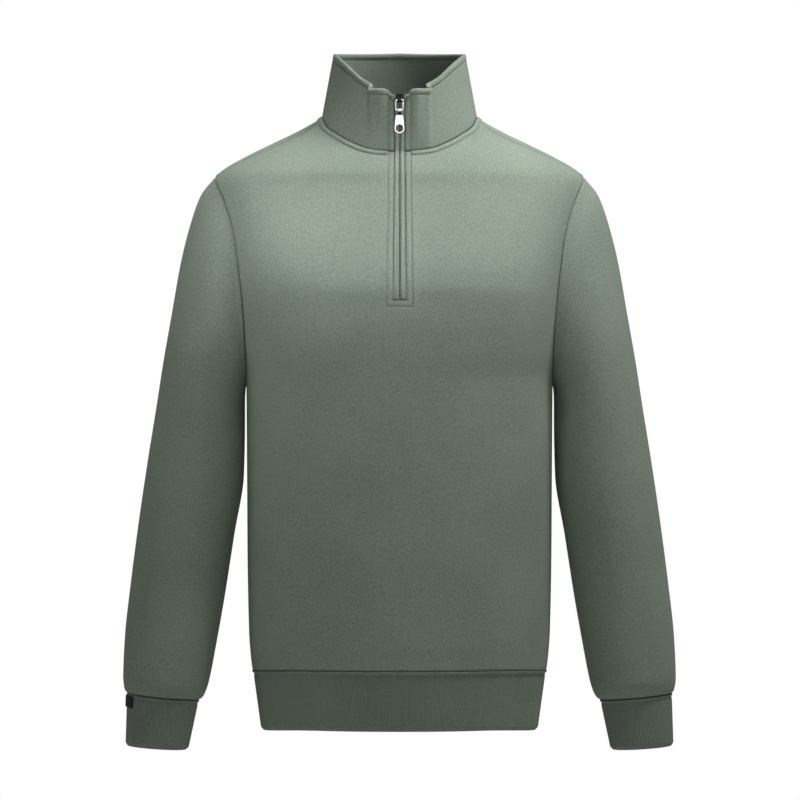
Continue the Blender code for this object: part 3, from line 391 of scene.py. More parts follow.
def seam_directions(degrees):
    """At the armhole, the wall's directions in the panel and in the sleeve."""
    panel = torso_normal(armhole(degrees))
    along = armhole(degrees + ARMHOLE_STEP_DEGREES) - armhole(degrees - ARMHOLE_STEP_DEGREES)
    down = sleeve_point(ARMHOLE_STEP_SHARE, degrees) - sleeve_point(0.0, degrees)
    sleeve = unit(np.cross(along, down))
    cosine = (panel * sleeve).sum(-1, keepdims=True)
    share = np.clip((cosine - FOLDED_BACK) / FOLDED_SPAN, 0, 1)
    return unit(panel + share * sleeve), unit(sleeve + share * panel)


def ring_sizes(bottom, top, share):
    """The sizes of a rib band's ring at a share of the way from its bottom edge to its seam."""
    return {key: np.asarray(bottom[key]) * (1 - share) + np.asarray(top[key]) * share for key in top}


def hem_ring(share, degrees):
    """Share 0 is the bottom edge, share 1 the seam: 0 degrees in front, 90 at +X."""
    size = ring_sizes(HEM_BOTTOM, HEM_TOP, share)
    side, fore = np.sin(np.radians(degrees)), -np.cos(np.radians(degrees))
    depth = np.where(fore < 0, size["front"], size["back"])
    power = TORSO[0][TORSO_COLUMNS.index("roundness")]
    radius = 1 / section_reach(side, fore, size["half_width"], depth, power)
    z = size["z"] + size["rise"] * hem_rise(degrees)
    return np.stack([radius * side, radius * fore, z], axis=-1)


def cuff_ring(share, degrees):
    """Share 0 is the bottom edge, share 1 the seam: 0 degrees on the outer side, 90 behind."""
    size = ring_sizes(CUFF_BOTTOM, CUFF_TOP, share)
    out, aft = np.cos(np.radians(degrees)), np.sin(np.radians(degrees))
    middle, half = (size["outer"] + size["inner"]) / 2, (size["outer"] - size["inner"]) / 2
    x, z = middle[0] + half[0] * out, middle[1] + half[1] * out
    return np.stack([x, size["y"] + size["half_depth"] * aft, z], axis=-1)


def collar_ring(degrees, share):
    """The collar's smooth outer form: share 0 is the seam, share 1 the top edge."""
    side, fore = np.sin(np.radians(degrees)), -np.cos(np.radians(degrees))
    depth = np.where(fore < 0, COLLAR_TOP_FRONT, COLLAR_TOP_BACK)
    radius = ((side / COLLAR_HALF_WIDTH) ** 2 + (fore / depth) ** 2) ** -0.5
    z = table_curve(COLLAR_TOP, COLLAR_TOP_COLUMNS, "z", degrees)
    top = np.stack([radius * side, radius * fore, z], axis=-1)
    base = neckline(degrees) + [0, 0, 2 * SEAM_GAP]
    return base + (top - base) * share


# Building cloth


def grid_quads(rows, columns, closed=False, ring=False, left_out=None):
    """Faces of a grid of points, closed from its last column to the first, or also, for a ring, from its
    last row to the first. Column direction x row direction points out of the cloth."""
    spans = (rows if ring else rows - 1, columns if closed or ring else columns - 1)
    row, col = np.indices(spans)
    if left_out is not None:
        keep = ~left_out(row, col)
        row, col = row[keep], col[keep]
    row, col = row.ravel(), col.ravel()
    after = (col + 1) % columns
    low, high = row * columns, (row + 1) % rows * columns
    return np.stack([low + col, low + after, high + after, high + col], axis=1)


def add_mesh(name, points, faces):
    mesh = bpy.data.meshes.new(name)
    mesh.from_pydata(points.tolist(), [], [tuple(map(int, face)) for face in faces])
    mesh.shade_smooth()
    obj = bpy.data.objects.new(name, mesh)
    bpy.context.scene.collection.objects.link(obj)
    return obj


def outward_faces(obj):
    work = bmesh.new()
    work.from_mesh(obj.data)
    bmesh.ops.recalc_face_normals(work, faces=work.faces)
    work.to_mesh(obj.data)
    work.free()
    return obj


def add_attribute(obj, name, kind, values):
    """Keeps a number or a vector with each point of a mesh."""
    field = "vector" if kind == "FLOAT_VECTOR" else "value"
    made = obj.data.attributes.new(name, kind, "POINT")
    made.data.foreach_set(field, np.ravel(values).astype(np.float32))


def add_cloth(name, outer, inner, quads, across, along, seam, mirrored=False):
    """A closed wall of cloth, with where each point lies along the knit kept as attributes: distances
    across and along it in metres, how much painted shade it takes at seams and grooves, and which face it is
    on."""
    outer, inner = outer.reshape(-1, 3), inner.reshape(-1, 3)
    if mirrored:
        outer, inner = outer * MIRROR, inner * MIRROR
        quads = quads[:, ::-1]
    count = len(outer)
    sides = np.stack([quads, np.roll(quads, -1, axis=1)], axis=-1).reshape(-1, 2)
    key, back_key = sides[:, 0] * count + sides[:, 1], sides[:, 1] * count + sides[:, 0]
    rim = sides[~np.isin(key, back_key)]
    rims = np.stack([rim[:, 1], rim[:, 0], rim[:, 0] + count, rim[:, 1] + count], axis=1)
    faces = np.concatenate([quads, quads[:, ::-1] + count, rims])
    used, faces = np.unique(faces, return_inverse=True)
    points = np.concatenate([outer, inner])[used]
    obj = add_mesh(name, points, faces.reshape(-1, 4))
    place = np.stack([across.ravel(), along.ravel(), 0 * across.ravel()], axis=1)
    place = np.concatenate([place, place + [0, 0, 1]])[used]
    # How much painted shade each point takes, at seams and stitched grooves
    near = np.concatenate([seam.ravel(), seam.ravel()])[used]
    add_attribute(obj, "knit_place", "FLOAT_VECTOR", place)
    add_attribute(obj, "painted_shade_mask", "FLOAT", near)
    return obj


def grid_normals(grid, closed=False):
    """Unit normals of a grid of points, along column direction x row direction."""
    if closed:
        along = np.roll(grid, -1, axis=1) - np.roll(grid, 1, axis=1)
    else:
        along = np.gradient(grid, axis=1)
    return unit(np.cross(along, np.gradient(grid, axis=0)))


def run_lengths(points, axis=0):
    """Distances along the rows or columns of a grid of points, from its first one."""
    steps = np.linalg.norm(np.diff(points, axis=axis), axis=-1)
    zero = np.zeros_like(np.take(steps, [0], axis=axis))
    return np.concatenate([zero, np.cumsum(steps, axis=axis)], axis=axis)


def coons(bottom, top, left, right, u, v):
    """Points between four edge curves, rows from bottom to top and columns from left to right."""
    u, v = u[None, :, None], v[:, None, None]
    across = (1 - u) * left[:, None] + u * right[:, None]
    along = (1 - v) * bottom[None] + v * top[None]
    corners = (1 - v) * ((1 - u) * bottom[0] + u * bottom[-1]) + v * ((1 - u) * top[0] + u * top[-1])
    return across + along - corners


def fine_at_ends(count, near, length, start=True, end=True):
    """Shares from 0 to 1 that lie close together within a short distance of an end."""
    steps = np.array(near) / length
    shares = np.linspace(steps[-1] if start else 0.0, 1 - steps[-1] if end else 1.0, count)
    before = steps[:-1] if start else []
    after = (1 - steps[:-1])[::-1] if end else []
    return np.concatenate([before, shares, after])


# Distances from a seam, in metres, at which the cloth is divided more finely
NEAR_SEAM = (0.0, 0.0003, 0.0007, 0.0012, 0.0019, 0.0028, 0.0040, 0.0056)
SEAM_DIP = 0.0009
SEAM_SOFT = 0.0011
SEAM_SWELL = 0.0005
SEAM_SWELL_AT = 0.0030
SEAM_SWELL_WIDTH = 0.0016
SEAM_SHADE = 0.0009


def seam_relief(distance):
    """How far the cloth stands out beside a seam: sunk at the stitches, and swollen over the
    allowance behind it."""
    swell = SEAM_SWELL * bell(distance - SEAM_SWELL_AT, SEAM_SWELL_WIDTH)
    return swell - SEAM_DIP * bell(distance, SEAM_SOFT)


def uneven(along, lengths, seed):
    """A slow wander between -1 and 1 along a seam, from waves of a few given lengths."""
    draw = np.random.default_rng(seed)
    waves = [np.sin(2 * np.pi * along / length + draw.uniform(0, 2 * np.pi)) for length in lengths]
    return sum(waves) / len(waves)


def soft_folds(points, folds):
    """The height of broad troughs and ridges placed on points seen from the front."""
    height = np.zeros(points.shape[:-1])
    for x, z, turn, length, width, depth in folds:
        angle = math.radians(turn)
        ahead = (points[..., 0] - x) * math.cos(angle) + (points[..., 2] - z) * math.sin(angle)
        aside = (points[..., 2] - z) * math.cos(angle) - (points[..., 0] - x) * math.sin(angle)
        height += depth * bell(ahead, length) * bell(aside, width)
    return height


def along_curve(curve, shares, corner):
    """Points at shares of a curve's length. The share nearest to the curve's corner is moved onto it."""
    lengths = run_lengths(curve)
    shares = np.array(shares)
    at = lengths[corner] / lengths[-1]
    shares[np.abs(shares - at).argmin()] = at
    return np.stack([np.interp(shares * lengths[-1], lengths, curve[:, axis]) for axis in range(3)], axis=1)


# Body panels

CURVE_POINTS = 500
PANEL_ROWS = 120
PANEL_COLUMNS = 58
PANEL_HEIGHT = 0.60
PANEL_WIDTH = 0.22
SLOT_COLUMNS = (
    0.0, 0.0003, 0.0007, 0.0012, 0.0020, 0.0032, 0.0045, 0.0052, 0.0056, 0.0059, 0.0062, 0.0065, 0.0069,
    0.0075, 0.0086,
)
SLOT_MIDDLE_COLUMNS = 9
FRAME_OFFSET_TOP = 0.0061
FRAME_OFFSET_BOTTOM = 0.0069
FRAME_GROOVE = 0.00055
FRAME_GROOVE_WIDTH = 0.0006
FRAME_PLUMP = 0.0004
SLOT_ROLL = 0.0008
SLOT_ROLL_WIDTH = 0.0010
FRAME_PLUMP_WIDTH = 0.002
FRAME_PLUMP_BEYOND = 0.7
FRAME_PLUMP_BEYOND_AT = 0.0025
FRAME_PLUMP_BEYOND_WIDTH = 0.0018
FRAME_SHADE = 0.8
FRAME_SHADE_WIDTH = 0.0007
ZIP_END_REACH = 0.002
ZIP_END_ROWS = 9
ZIP_END_CLEAR = 0.001
ZIP_END_NEAR = 5
SEAM_BLEND = 0.004
HEM_DIP_SHARE = 0.3
HEM_GATHER = 0.00012
HEM_GATHER_REACH = 0.012
FOLD_FADE = 0.03
# A distance that stands for far from any seam, and how far the side seam's points are kept off its plane
FAR = 1.0
OFF_MIDDLE = 1e-9
# Lengths of the waves in the gathers above the hem, and the seeds of where they start
FRONT_GATHERS = (0.021, 0.0137, 0.0083)
FRONT_SEED = 3
BACK_GATHERS = (0.023, 0.0141, 0.0087)
BACK_SEED = 5

# Broad folds on the front and back: x, z, turn in degrees, length, width and depth of each
FRONT_FOLDS = (
    (-0.085, -0.232, 14.0, 0.085, 0.020, -0.0011),
    (0.085, -0.236, -13.0, 0.085, 0.023, -0.0009),
    (0.000, -0.262, 0.0, 0.060, 0.022, -0.0005),
    (-0.150, -0.330, 62.0, 0.060, 0.014, 0.0008),
    (0.152, -0.345, -64.0, 0.065, 0.014, 0.0008),
    (-0.060, -0.560, 80.0, 0.070, 0.022, 0.0007),
    (0.075, -0.540, 95.0, 0.080, 0.025, 0.0007),
    (0.020, -0.605, 5.0, 0.120, 0.009, 0.0006),
)
BACK_FOLDS = (
    (-0.070, -0.180, 35.0, 0.080, 0.018, 0.0012),
    (0.080, -0.200, -32.0, 0.085, 0.018, 0.0012),
    (0.000, -0.420, 88.0, 0.120, 0.022, -0.0012),
    (-0.110, -0.480, 75.0, 0.090, 0.016, 0.0009),
    (0.105, -0.500, 100.0, 0.090, 0.017, 0.0009),
    (0.010, -0.600, 3.0, 0.120, 0.010, 0.0008),
)


def slot_distance(points):
    """How far a point of the front or collar is from the zip's slot."""
    return np.maximum(np.abs(points[..., 0]) - slot_half(points[..., 2]), SLOT_BOTTOM_Z - points[..., 2])


def frame_offset(z):
    return FRAME_OFFSET_BOTTOM + (FRAME_OFFSET_TOP - FRAME_OFFSET_BOTTOM) * slot_share(z)


def slot_relief(points):
    """The cloth turns in at the slot's edge and is stitched down along a frame round it."""
    away = slot_distance(points)
    line = frame_offset(points[..., 2])
    relief = -SLOT_ROLL * (1 - smoothstep(away / SLOT_ROLL_WIDTH))
    relief -= FRAME_GROOVE * bell(away - line, FRAME_GROOVE_WIDTH)
    plump = bell(away - line / 2, FRAME_PLUMP_WIDTH)
    beyond = bell(away - line - FRAME_PLUMP_BEYOND_AT, FRAME_PLUMP_BEYOND_WIDTH)
    return relief + FRAME_PLUMP * (plump + FRAME_PLUMP_BEYOND * beyond)


def front_heights():
    """Heights of the front's rows along its middle, closer together at its seams and the zip's end."""
    low, high = HEM_SEAM_Z + HEM_SEAM_RISE, NECKLINE[0][1]
    near = np.array(NEAR_SEAM)
    frame_z = SLOT_BOTTOM_Z - FRAME_OFFSET_BOTTOM
    frame_rows = frame_z + np.linspace(-ZIP_END_REACH, ZIP_END_REACH, ZIP_END_ROWS)
    zip_end = np.concatenate([frame_rows, SLOT_BOTTOM_Z - near[:ZIP_END_NEAR]])
    even = np.linspace(low + near[-1], high - near[-1], PANEL_ROWS)
    even = even[(even < zip_end.min() - ZIP_END_CLEAR) | (even > zip_end.max() + ZIP_END_CLEAR)]
    return np.unique(np.concatenate([low + near, even, zip_end, high - near]))


def side_curve(is_front):
    """Up the side seam, then along the armhole to the shoulder seam; and the corner's place in it."""
    side = section_point(90.0, np.linspace(HEM_SEAM_Z, UNDERARM_Z, CURVE_POINTS))
    side[:, 1] = -OFF_MIDDLE if is_front else OFF_MIDDLE
    end = SHOULDER_SEAM_ANGLE if is_front else 360.0 + SHOULDER_SEAM_ANGLE
    return np.concatenate([side, armhole(np.linspace(180.0, end, CURVE_POINTS))[1:]]), CURVE_POINTS - 1


def armhole_directions(points):
    """The wall's direction where a panel's points come to the armhole."""
    middle, half = (ARMHOLE_TOP_Z + UNDERARM_Z) / 2, (ARMHOLE_TOP_Z - UNDERARM_Z) / 2
    down = np.degrees(np.arccos(np.clip((points[:, 2] - middle) / half, -1, 1)))
    degrees = np.where(points[:, 1] < 0, down, 360 - down)
    directions = seam_directions(degrees)[0]
    return np.where(points[:, 2:] < UNDERARM_Z, torso_normal(points), directions)


def panel_walls(half, armhole_column):
    """The form's normals, the wall's directions, bent to the seam at the armhole, and the distances from
    the side seam and armhole, at each point of half a panel."""
    normals = torso_normal(half)
    to_edge = half if armhole_column == 0 else half[:, ::-1]
    distance = run_lengths(to_edge, axis=1)
    distance = distance if armhole_column == 0 else distance[:, ::-1]
    share = bell(distance, SEAM_BLEND)[..., None]
    wall = unit(normals * (1 - share) + armhole_directions(half[:, armhole_column])[:, None] * share)
    return normals, wall, distance


def at_minus_x(half):
    """The other side's copy of a grid of points, directions or distances at +X."""
    return half[:, ::-1] * (MIRROR if half.ndim == 3 else 1)


def add_panel(name, grid, normals, wall, from_side, folds, gathers, relief=0.0, shade=0.0, left_out=None):
    """A body panel, with relief at its seams, its broad folds, and the gathers above the hem."""
    along = run_lengths(grid)
    from_top = run_lengths(grid[::-1])[::-1]
    near = np.minimum(from_side, np.minimum(along, from_top))
    across = run_lengths(grid, axis=1)
    across -= across[:, [across.shape[1] // 2]]
    lift = seam_relief(from_side) + seam_relief(from_top) + HEM_DIP_SHARE * seam_relief(along) + relief
    lift += soft_folds(grid, folds) * smoothstep(near / FOLD_FADE)
    lift += HEM_GATHER * uneven(across, *gathers) * bell(along, HEM_GATHER_REACH)
    outer = grid + normals * lift[..., None]
    quads = grid_quads(*grid.shape[:2], left_out=left_out)
    # Painted shade along the panel's seams and the zip's stitched frame
    seam = np.maximum(bell(near, SEAM_SHADE), shade)
    return add_cloth(name, outer, grid - wall * WALL, quads, across, along, seam)


def front_half(z):
    """The front at +X: a strip beside the zip's slot, then a patch to the side seam and armhole."""
    share = (z - z[0]) / (z[-1] - z[0])
    edge, corner = side_curve(True)
    side = along_curve(edge, share, corner)
    offsets = np.array(SLOT_COLUMNS)[None, :] * (frame_offset(z) / FRAME_OFFSET_TOP)[:, None]
    strip = on_front(slot_half(z)[:, None] + offsets, z[:, None])
    inner_edge = strip[:, -1]
    u = fine_at_ends(PANEL_COLUMNS, NEAR_SEAM, PANEL_WIDTH, start=False)
    hem_start = math.degrees(math.atan2(inner_edge[0, 0], -inner_edge[0, 1]))
    hem = hem_seam(hem_start + (90.0 - hem_start) * u)
    neck = neckline(np.linspace(neck_degrees(inner_edge[-1, 0]), NECK_END_DEGREES, CURVE_POINTS))
    shoulder = shoulder_seam(np.linspace(0, 1, CURVE_POINTS))
    top = along_curve(np.concatenate([neck, shoulder[1:]]), u, CURVE_POINTS - 1)
    hem[0], top[0] = inner_edge[0], inner_edge[-1]
    hem[-1], top[-1] = side[0], side[-1]
    patch = coons(hem, top, inner_edge, side, u, share)
    patch[1:-1, 1:-1] = onto_torso(patch[1:-1, 1:-1])
    return np.concatenate([strip[:, :-1], patch], axis=1)


def make_front():
    z = front_heights()
    half = front_half(z)
    middle = on_front(slot_half(z)[:, None] * np.linspace(-1, 1, SLOT_MIDDLE_COLUMNS)[1:-1], z[:, None])
    normals, wall, from_side = panel_walls(half, -1)
    middle_normals = torso_normal(middle)
    far = np.full(middle.shape[:2], FAR)
    parts = ((half, middle), (normals, middle_normals), (wall, middle_normals), (from_side, far))
    grid, normals, wall, from_side = (
        np.concatenate([at_minus_x(side), between, side], axis=1) for side, between in parts
    )
    half_columns = half.shape[1]
    slot_row = int(np.abs(z - SLOT_BOTTOM_Z).argmin())

    def in_slot(row, col):
        return (row >= slot_row) & (col >= half_columns - 1) & (col < half_columns + middle.shape[1])

    # Painted shade in the groove of the zip's stitched frame
    from_frame = slot_distance(grid) - frame_offset(grid[..., 2])
    shade = FRAME_SHADE * bell(from_frame, FRAME_SHADE_WIDTH)
    return add_panel("front_cloth", grid, normals, wall, from_side, FRONT_FOLDS, (FRONT_GATHERS, FRONT_SEED),
                     slot_relief(grid), shade, in_slot)


def back_half():
    """The back at +X, from the side seam and armhole to its middle."""
    share = fine_at_ends(PANEL_ROWS, NEAR_SEAM, PANEL_HEIGHT)
    edge, corner = side_curve(False)
    side = along_curve(edge, share, corner)
    low, high = HEM_SEAM_Z + HEM_SEAM_RISE, NECKLINE[-1][1]
    centre = section_point(180.0, low + (high - low) * share)
    u = fine_at_ends(PANEL_COLUMNS, NEAR_SEAM, PANEL_WIDTH, end=False)
    hem = hem_seam(90.0 + 90.0 * u)
    shoulder = shoulder_seam(np.linspace(0, 1, CURVE_POINTS))[::-1]
    neck = neckline(np.linspace(NECK_END_DEGREES, 180.0, CURVE_POINTS))
    top = along_curve(np.concatenate([shoulder, neck[1:]]), u, CURVE_POINTS - 1)
    hem[0], top[0] = side[0], side[-1]
    hem[-1], top[-1] = centre[0], centre[-1]
    half = coons(hem, top, side, centre, u, share)
    half[1:-1, 1:-1] = onto_torso(half[1:-1, 1:-1])
    return half


def make_back():
    half = back_half()
    grid, normals, wall, from_side = (
        np.concatenate([side, at_minus_x(side)[:, 1:]], axis=1) for side in (half, *panel_walls(half, 0))
    )
    return add_panel("back_cloth", grid, normals, wall, from_side, BACK_FOLDS, (BACK_GATHERS, BACK_SEED))


# Sleeves

SLEEVE_ROWS = 150
SLEEVE_LENGTH = 0.60
SLEEVE_HALF_COLUMNS = 56
SLEEVE_HALF_ROUND = 0.17
SLEEVE_SEAM_SHARE = 0.7
SLEEVE_FOLD_FADE = 0.02
SLEEVE_GATHER = 0.0003
SLEEVE_GATHER_AT = 0.004
SLEEVE_GATHER_REACH = 0.010
SLEEVE_GATHERS = (0.019, 0.0123, 0.0077)
SLEEVE_SEEDS = {"left": 7, "right": 11}
# Broad folds of a sleeve: share of its length, degrees round it, reach along it, reach round it, depth
SLEEVE_FOLDS = {
    "left": (
        (0.30, 150.0, 0.05, 16.0, -0.0016),
        (0.42, 128.0, 0.05, 20.0, 0.0012),
        (0.60, 70.0, 0.09, 16.0, 0.0011),
        (0.66, 112.0, 0.07, 14.0, -0.0010),
        (0.80, 88.0, 0.05, 26.0, 0.0011),
        (0.90, 120.0, 0.03, 30.0, -0.0010),
        (0.55, 262.0, 0.08, 24.0, 0.0014),
        (0.72, 290.0, 0.06, 18.0, -0.0012),
        (0.36, 225.0, 0.05, 20.0, -0.0016),
    ),
    "right": (
        (0.31, 146.0, 0.05, 17.0, -0.0016),
        (0.45, 120.0, 0.06, 18.0, 0.0012),
        (0.58, 84.0, 0.08, 15.0, -0.0009),
        (0.69, 60.0, 0.08, 16.0, 0.0011),
        (0.79, 108.0, 0.05, 22.0, 0.0010),
        (0.91, 84.0, 0.03, 28.0, -0.0009),
        (0.53, 270.0, 0.08, 22.0, 0.0013),
        (0.70, 244.0, 0.07, 18.0, -0.0012),
        (0.38, 220.0, 0.05, 20.0, -0.0016),
    ),
}


def make_sleeve(side):
    sweep = fine_at_ends(SLEEVE_HALF_COLUMNS, NEAR_SEAM, SLEEVE_HALF_ROUND, start=False)
    front = SHOULDER_SEAM_ANGLE + (180.0 - SHOULDER_SEAM_ANGLE) * sweep
    behind = (180.0 + (180.0 + SHOULDER_SEAM_ANGLE) * (1 - sweep[::-1]))[1:-1]
    degrees = np.concatenate([front, behind])
    shares = fine_at_ends(SLEEVE_ROWS, NEAR_SEAM, SLEEVE_LENGTH)
    grid = np.stack([sleeve_point(share, degrees) for share in shares])
    normals = grid_normals(grid, closed=True)
    normals[0] = seam_directions(degrees)[1]
    along = run_lengths(grid)
    from_cuff = run_lengths(grid[::-1])[::-1]
    share = bell(along, SEAM_BLEND)[..., None]
    wall = unit(normals * (1 - share) + normals[:1] * share)
    under_arm = smoothstep(-np.cos(np.radians(degrees)))
    grid[..., 0] += UNDERARM_CLEAR * under_arm * bell(along, UNDERARM_CLEAR_REACH)
    ring = run_lengths(np.concatenate([grid, grid[:, :1]], axis=1), axis=1)
    across = ring[:, :-1] - ring[:, [len(front) - 1]]
    near = np.minimum(np.minimum(along, from_cuff), np.abs(across))
    lift = seam_relief(along) + HEM_DIP_SHARE * seam_relief(from_cuff)
    lift += SLEEVE_SEAM_SHARE * seam_relief(np.abs(across))
    for at, turn, reach, spread, depth in SLEEVE_FOLDS[side]:
        round_it = bell((degrees - turn + 180) % 360 - 180, spread)[None, :]
        lift += depth * bell(shares - at, reach)[:, None] * round_it * smoothstep(near / SLEEVE_FOLD_FADE)
    gathers = uneven(across, SLEEVE_GATHERS, SLEEVE_SEEDS[side])
    lift += SLEEVE_GATHER * gathers * bell(from_cuff - SLEEVE_GATHER_AT, SLEEVE_GATHER_REACH)
    outer = grid + normals * lift[..., None]
    quads = grid_quads(len(shares), len(degrees), closed=True)
    name = f"sleeve_{side}_cloth"
    # Painted shade along the sleeve's seams
    seam = bell(near, SEAM_SHADE)
    return add_cloth(name, outer, grid - wall * WALL, quads, across, along, seam, side == "right")


# Rib bands

POINTS_PER_RIB = 4
CUFF_POINTS_PER_RIB = 8
RIB_RELIEF = 0.00045
BAND_ROWS = 18
EDGE_ROUND = 0.0014
EDGE_TUCK = 0.0020
EDGE_TUCK_REACH = 0.0045
HEM_SEAM_ROLL = 0.0017
CUFF_SEAM_ROLL = 0.0010
SEAM_ROLL_AT = 0.0015
SEAM_ROLL_WIDTH = 0.0011
SEAM_ROLL_WANDER = 0.00035
SEAM_ROLL_UNEVEN = 0.25
BELOW_ROLL = 0.0007
BELOW_ROLL_AT = 0.0026
BELOW_ROLL_WIDTH = 0.0016
BAND_DIP_WIDTH = 0.0005
RIBS_START = 0.0015
RIBS_REACH = 0.003
RIBS_LEFT_AT_SEAM = 0.25
EDGE_ROUND_SHARE = 0.85
NEAR_BAND_END = (0, 0.0002, 0.0005, 0.0009, 0.0014, 0.0020, 0.0027, 0.0036, 0.0048)
RING_POINTS = 2881
# Lengths of the waves in where a band's seam roll lies and in how thick it is
ROLL_WANDER_WAVES = (0.061, 0.037, 0.0223)
ROLL_WAVES = (0.043, 0.019)
HEM_HEIGHT = 0.062
HEM_SEED = 41
CUFF_HEIGHT = 0.052
CUFF_SEEDS = {"left": 51, "right": 61}


def even_degrees(ring, count):
    """Angles that divide a closed ring into equal lengths."""
    fine = np.linspace(0, 360, RING_POINTS)
    lengths = run_lengths(ring(0.5, fine))
    return np.interp(np.arange(count) * lengths[-1] / count, lengths, fine)


def make_band(name, ring, ribs, per_rib, wall, height, seed, seam_roll, mirrored=False):
    """A rib-knit tube doubled at its open edge, with a thin roll of cloth at its seam."""
    degrees = even_degrees(ring, ribs * per_rib)
    shares = fine_at_ends(BAND_ROWS, NEAR_BAND_END, height)
    base = np.stack([ring(share, degrees) for share in shares])
    normals = grid_normals(base, closed=True)
    up = run_lengths(base)
    from_seam = run_lengths(base[::-1])[::-1]
    across = run_lengths(base, axis=1)
    wave = 0.5 + 0.5 * np.cos(2 * np.pi * np.arange(len(degrees)) / per_rib)
    ribs_fade = smoothstep((from_seam - RIBS_START) / RIBS_REACH)
    ribs_shown = RIBS_LEFT_AT_SEAM + (1 - RIBS_LEFT_AT_SEAM) * ribs_fade
    seam_at = SEAM_ROLL_AT + SEAM_ROLL_WANDER * uneven(across, ROLL_WANDER_WAVES, seed)
    roll = seam_roll * (1 + SEAM_ROLL_UNEVEN * uneven(across, ROLL_WAVES, seed + 1))
    lift = RIB_RELIEF * (wave[None, :] - 0.5) * ribs_shown
    lift += roll * bell(from_seam - seam_at, SEAM_ROLL_WIDTH)
    lift -= HEM_DIP_SHARE * SEAM_DIP * bell(from_seam, BAND_DIP_WIDTH)
    lift -= BELOW_ROLL * bell(from_seam - seam_at - BELOW_ROLL_AT, BELOW_ROLL_WIDTH)
    tuck = EDGE_TUCK * (1 - smoothstep(up / EDGE_TUCK_REACH))
    depth = np.clip(EDGE_ROUND - up, 0, EDGE_ROUND)
    rounding = EDGE_ROUND - np.sqrt(np.maximum(EDGE_ROUND**2 - depth**2, 0))
    outer = base + normals * (lift - tuck - EDGE_ROUND_SHARE * rounding)[..., None]
    inner = base - normals * (wall + tuck - EDGE_ROUND_SHARE * rounding)[..., None]
    quads = grid_quads(len(shares), len(degrees), closed=True)
    # Painted shade along the band's seam
    seam = bell(from_seam, SEAM_SHADE)
    return add_cloth(name, outer, inner, quads, across, up, seam, mirrored)


def make_hem_band():
    return make_band("hem_band_cloth", hem_ring, HEM_RIBS, POINTS_PER_RIB, HEM_WALL, HEM_HEIGHT, HEM_SEED,
                     HEM_SEAM_ROLL)


def make_cuff(side):
    return make_band(f"cuff_{side}_cloth", cuff_ring, CUFF_RIBS, CUFF_POINTS_PER_RIB, CUFF_WALL, CUFF_HEIGHT,
                     CUFF_SEEDS[side], CUFF_SEAM_ROLL, side == "right")


# Collar

COLLAR_START = neck_degrees(SLOT_HALF_TOP)
# Stretches of the collar's columns and rows: start, end and number of each
COLLAR_COLUMN_STRETCHES = ((COLLAR_START, 10.5, 26), (10.5, 23.0, 18), (23.0, 32.0, 34), (32.0, 180.0, 76))
COLLAR_ROW_STRETCHES = ((0.0, 0.865, 38), (0.865, 1.0, 32))
COLLAR_RIM_FROM = 0.93
COLLAR_RIM_BLEND = 0.02
COLLAR_ROLL_UNEVEN = 0.00025
COLLAR_ROLL_WAVES = (0.031, 0.017, 0.052)
COLLAR_SEED = 21
COLLAR_SEAM_SHARE = 0.5
RIM_FRONT_FROM = 0.005
RIM_FRONT_REACH = 0.04
COLLAR_PLUMP_SHARE = 0.8
COLLAR_PLUMP_AT = 0.003
SLOT_ROLL_INSIDE = 0.6
COLLAR_SHADE = 0.6
COLLAR_SHADE_WIDTH = 0.0008
RIM_LINE_SHARE = 0.901
COLLAR_HEIGHT = 0.075


def stretches(parts):
    """Values in stretches, each with its own spacing, up to and with the last one's end."""
    last = len(parts) - 1
    return np.concatenate([
        np.linspace(*part, endpoint=index == last) for index, part in enumerate(parts)
    ])


COLLAR_DEGREES = stretches(COLLAR_COLUMN_STRETCHES)
COLLAR_SHARES = stretches(COLLAR_ROW_STRETCHES)


def collar_half(tucks):
    """One side of the collar, from its slot edge in front to the middle of the back, at +X."""
    grid = np.stack([collar_ring(COLLAR_DEGREES, share) for share in COLLAR_SHARES])
    tuck = table_curve(CREASE_TUCK, CREASE_TUCK_COLUMNS, tucks, COLLAR_SHARES)[:, None]
    in_front = (COLLAR_DEGREES < 90)[None, :]
    from_crease = (grid[..., 0] - CREASE_X) / CREASE_REACH
    swing = CREASE_SWING * tuck * from_crease * np.exp(-(from_crease**2) / 2)
    proud = 0.5 - 0.5 * np.tanh(CREASE_SHARPNESS * from_crease)
    forward = CREASE_FORWARD * tuck * proud * smoothstep((grid[..., 0] - SLOT_HALF_TOP) / CREASE_RAMP)
    grid[..., 0] -= np.where(in_front, swing, 0.0)
    grid[..., 1] -= np.where(in_front, forward, 0.0)
    grid[:, 0, 0] = SLOT_HALF_TOP
    return grid


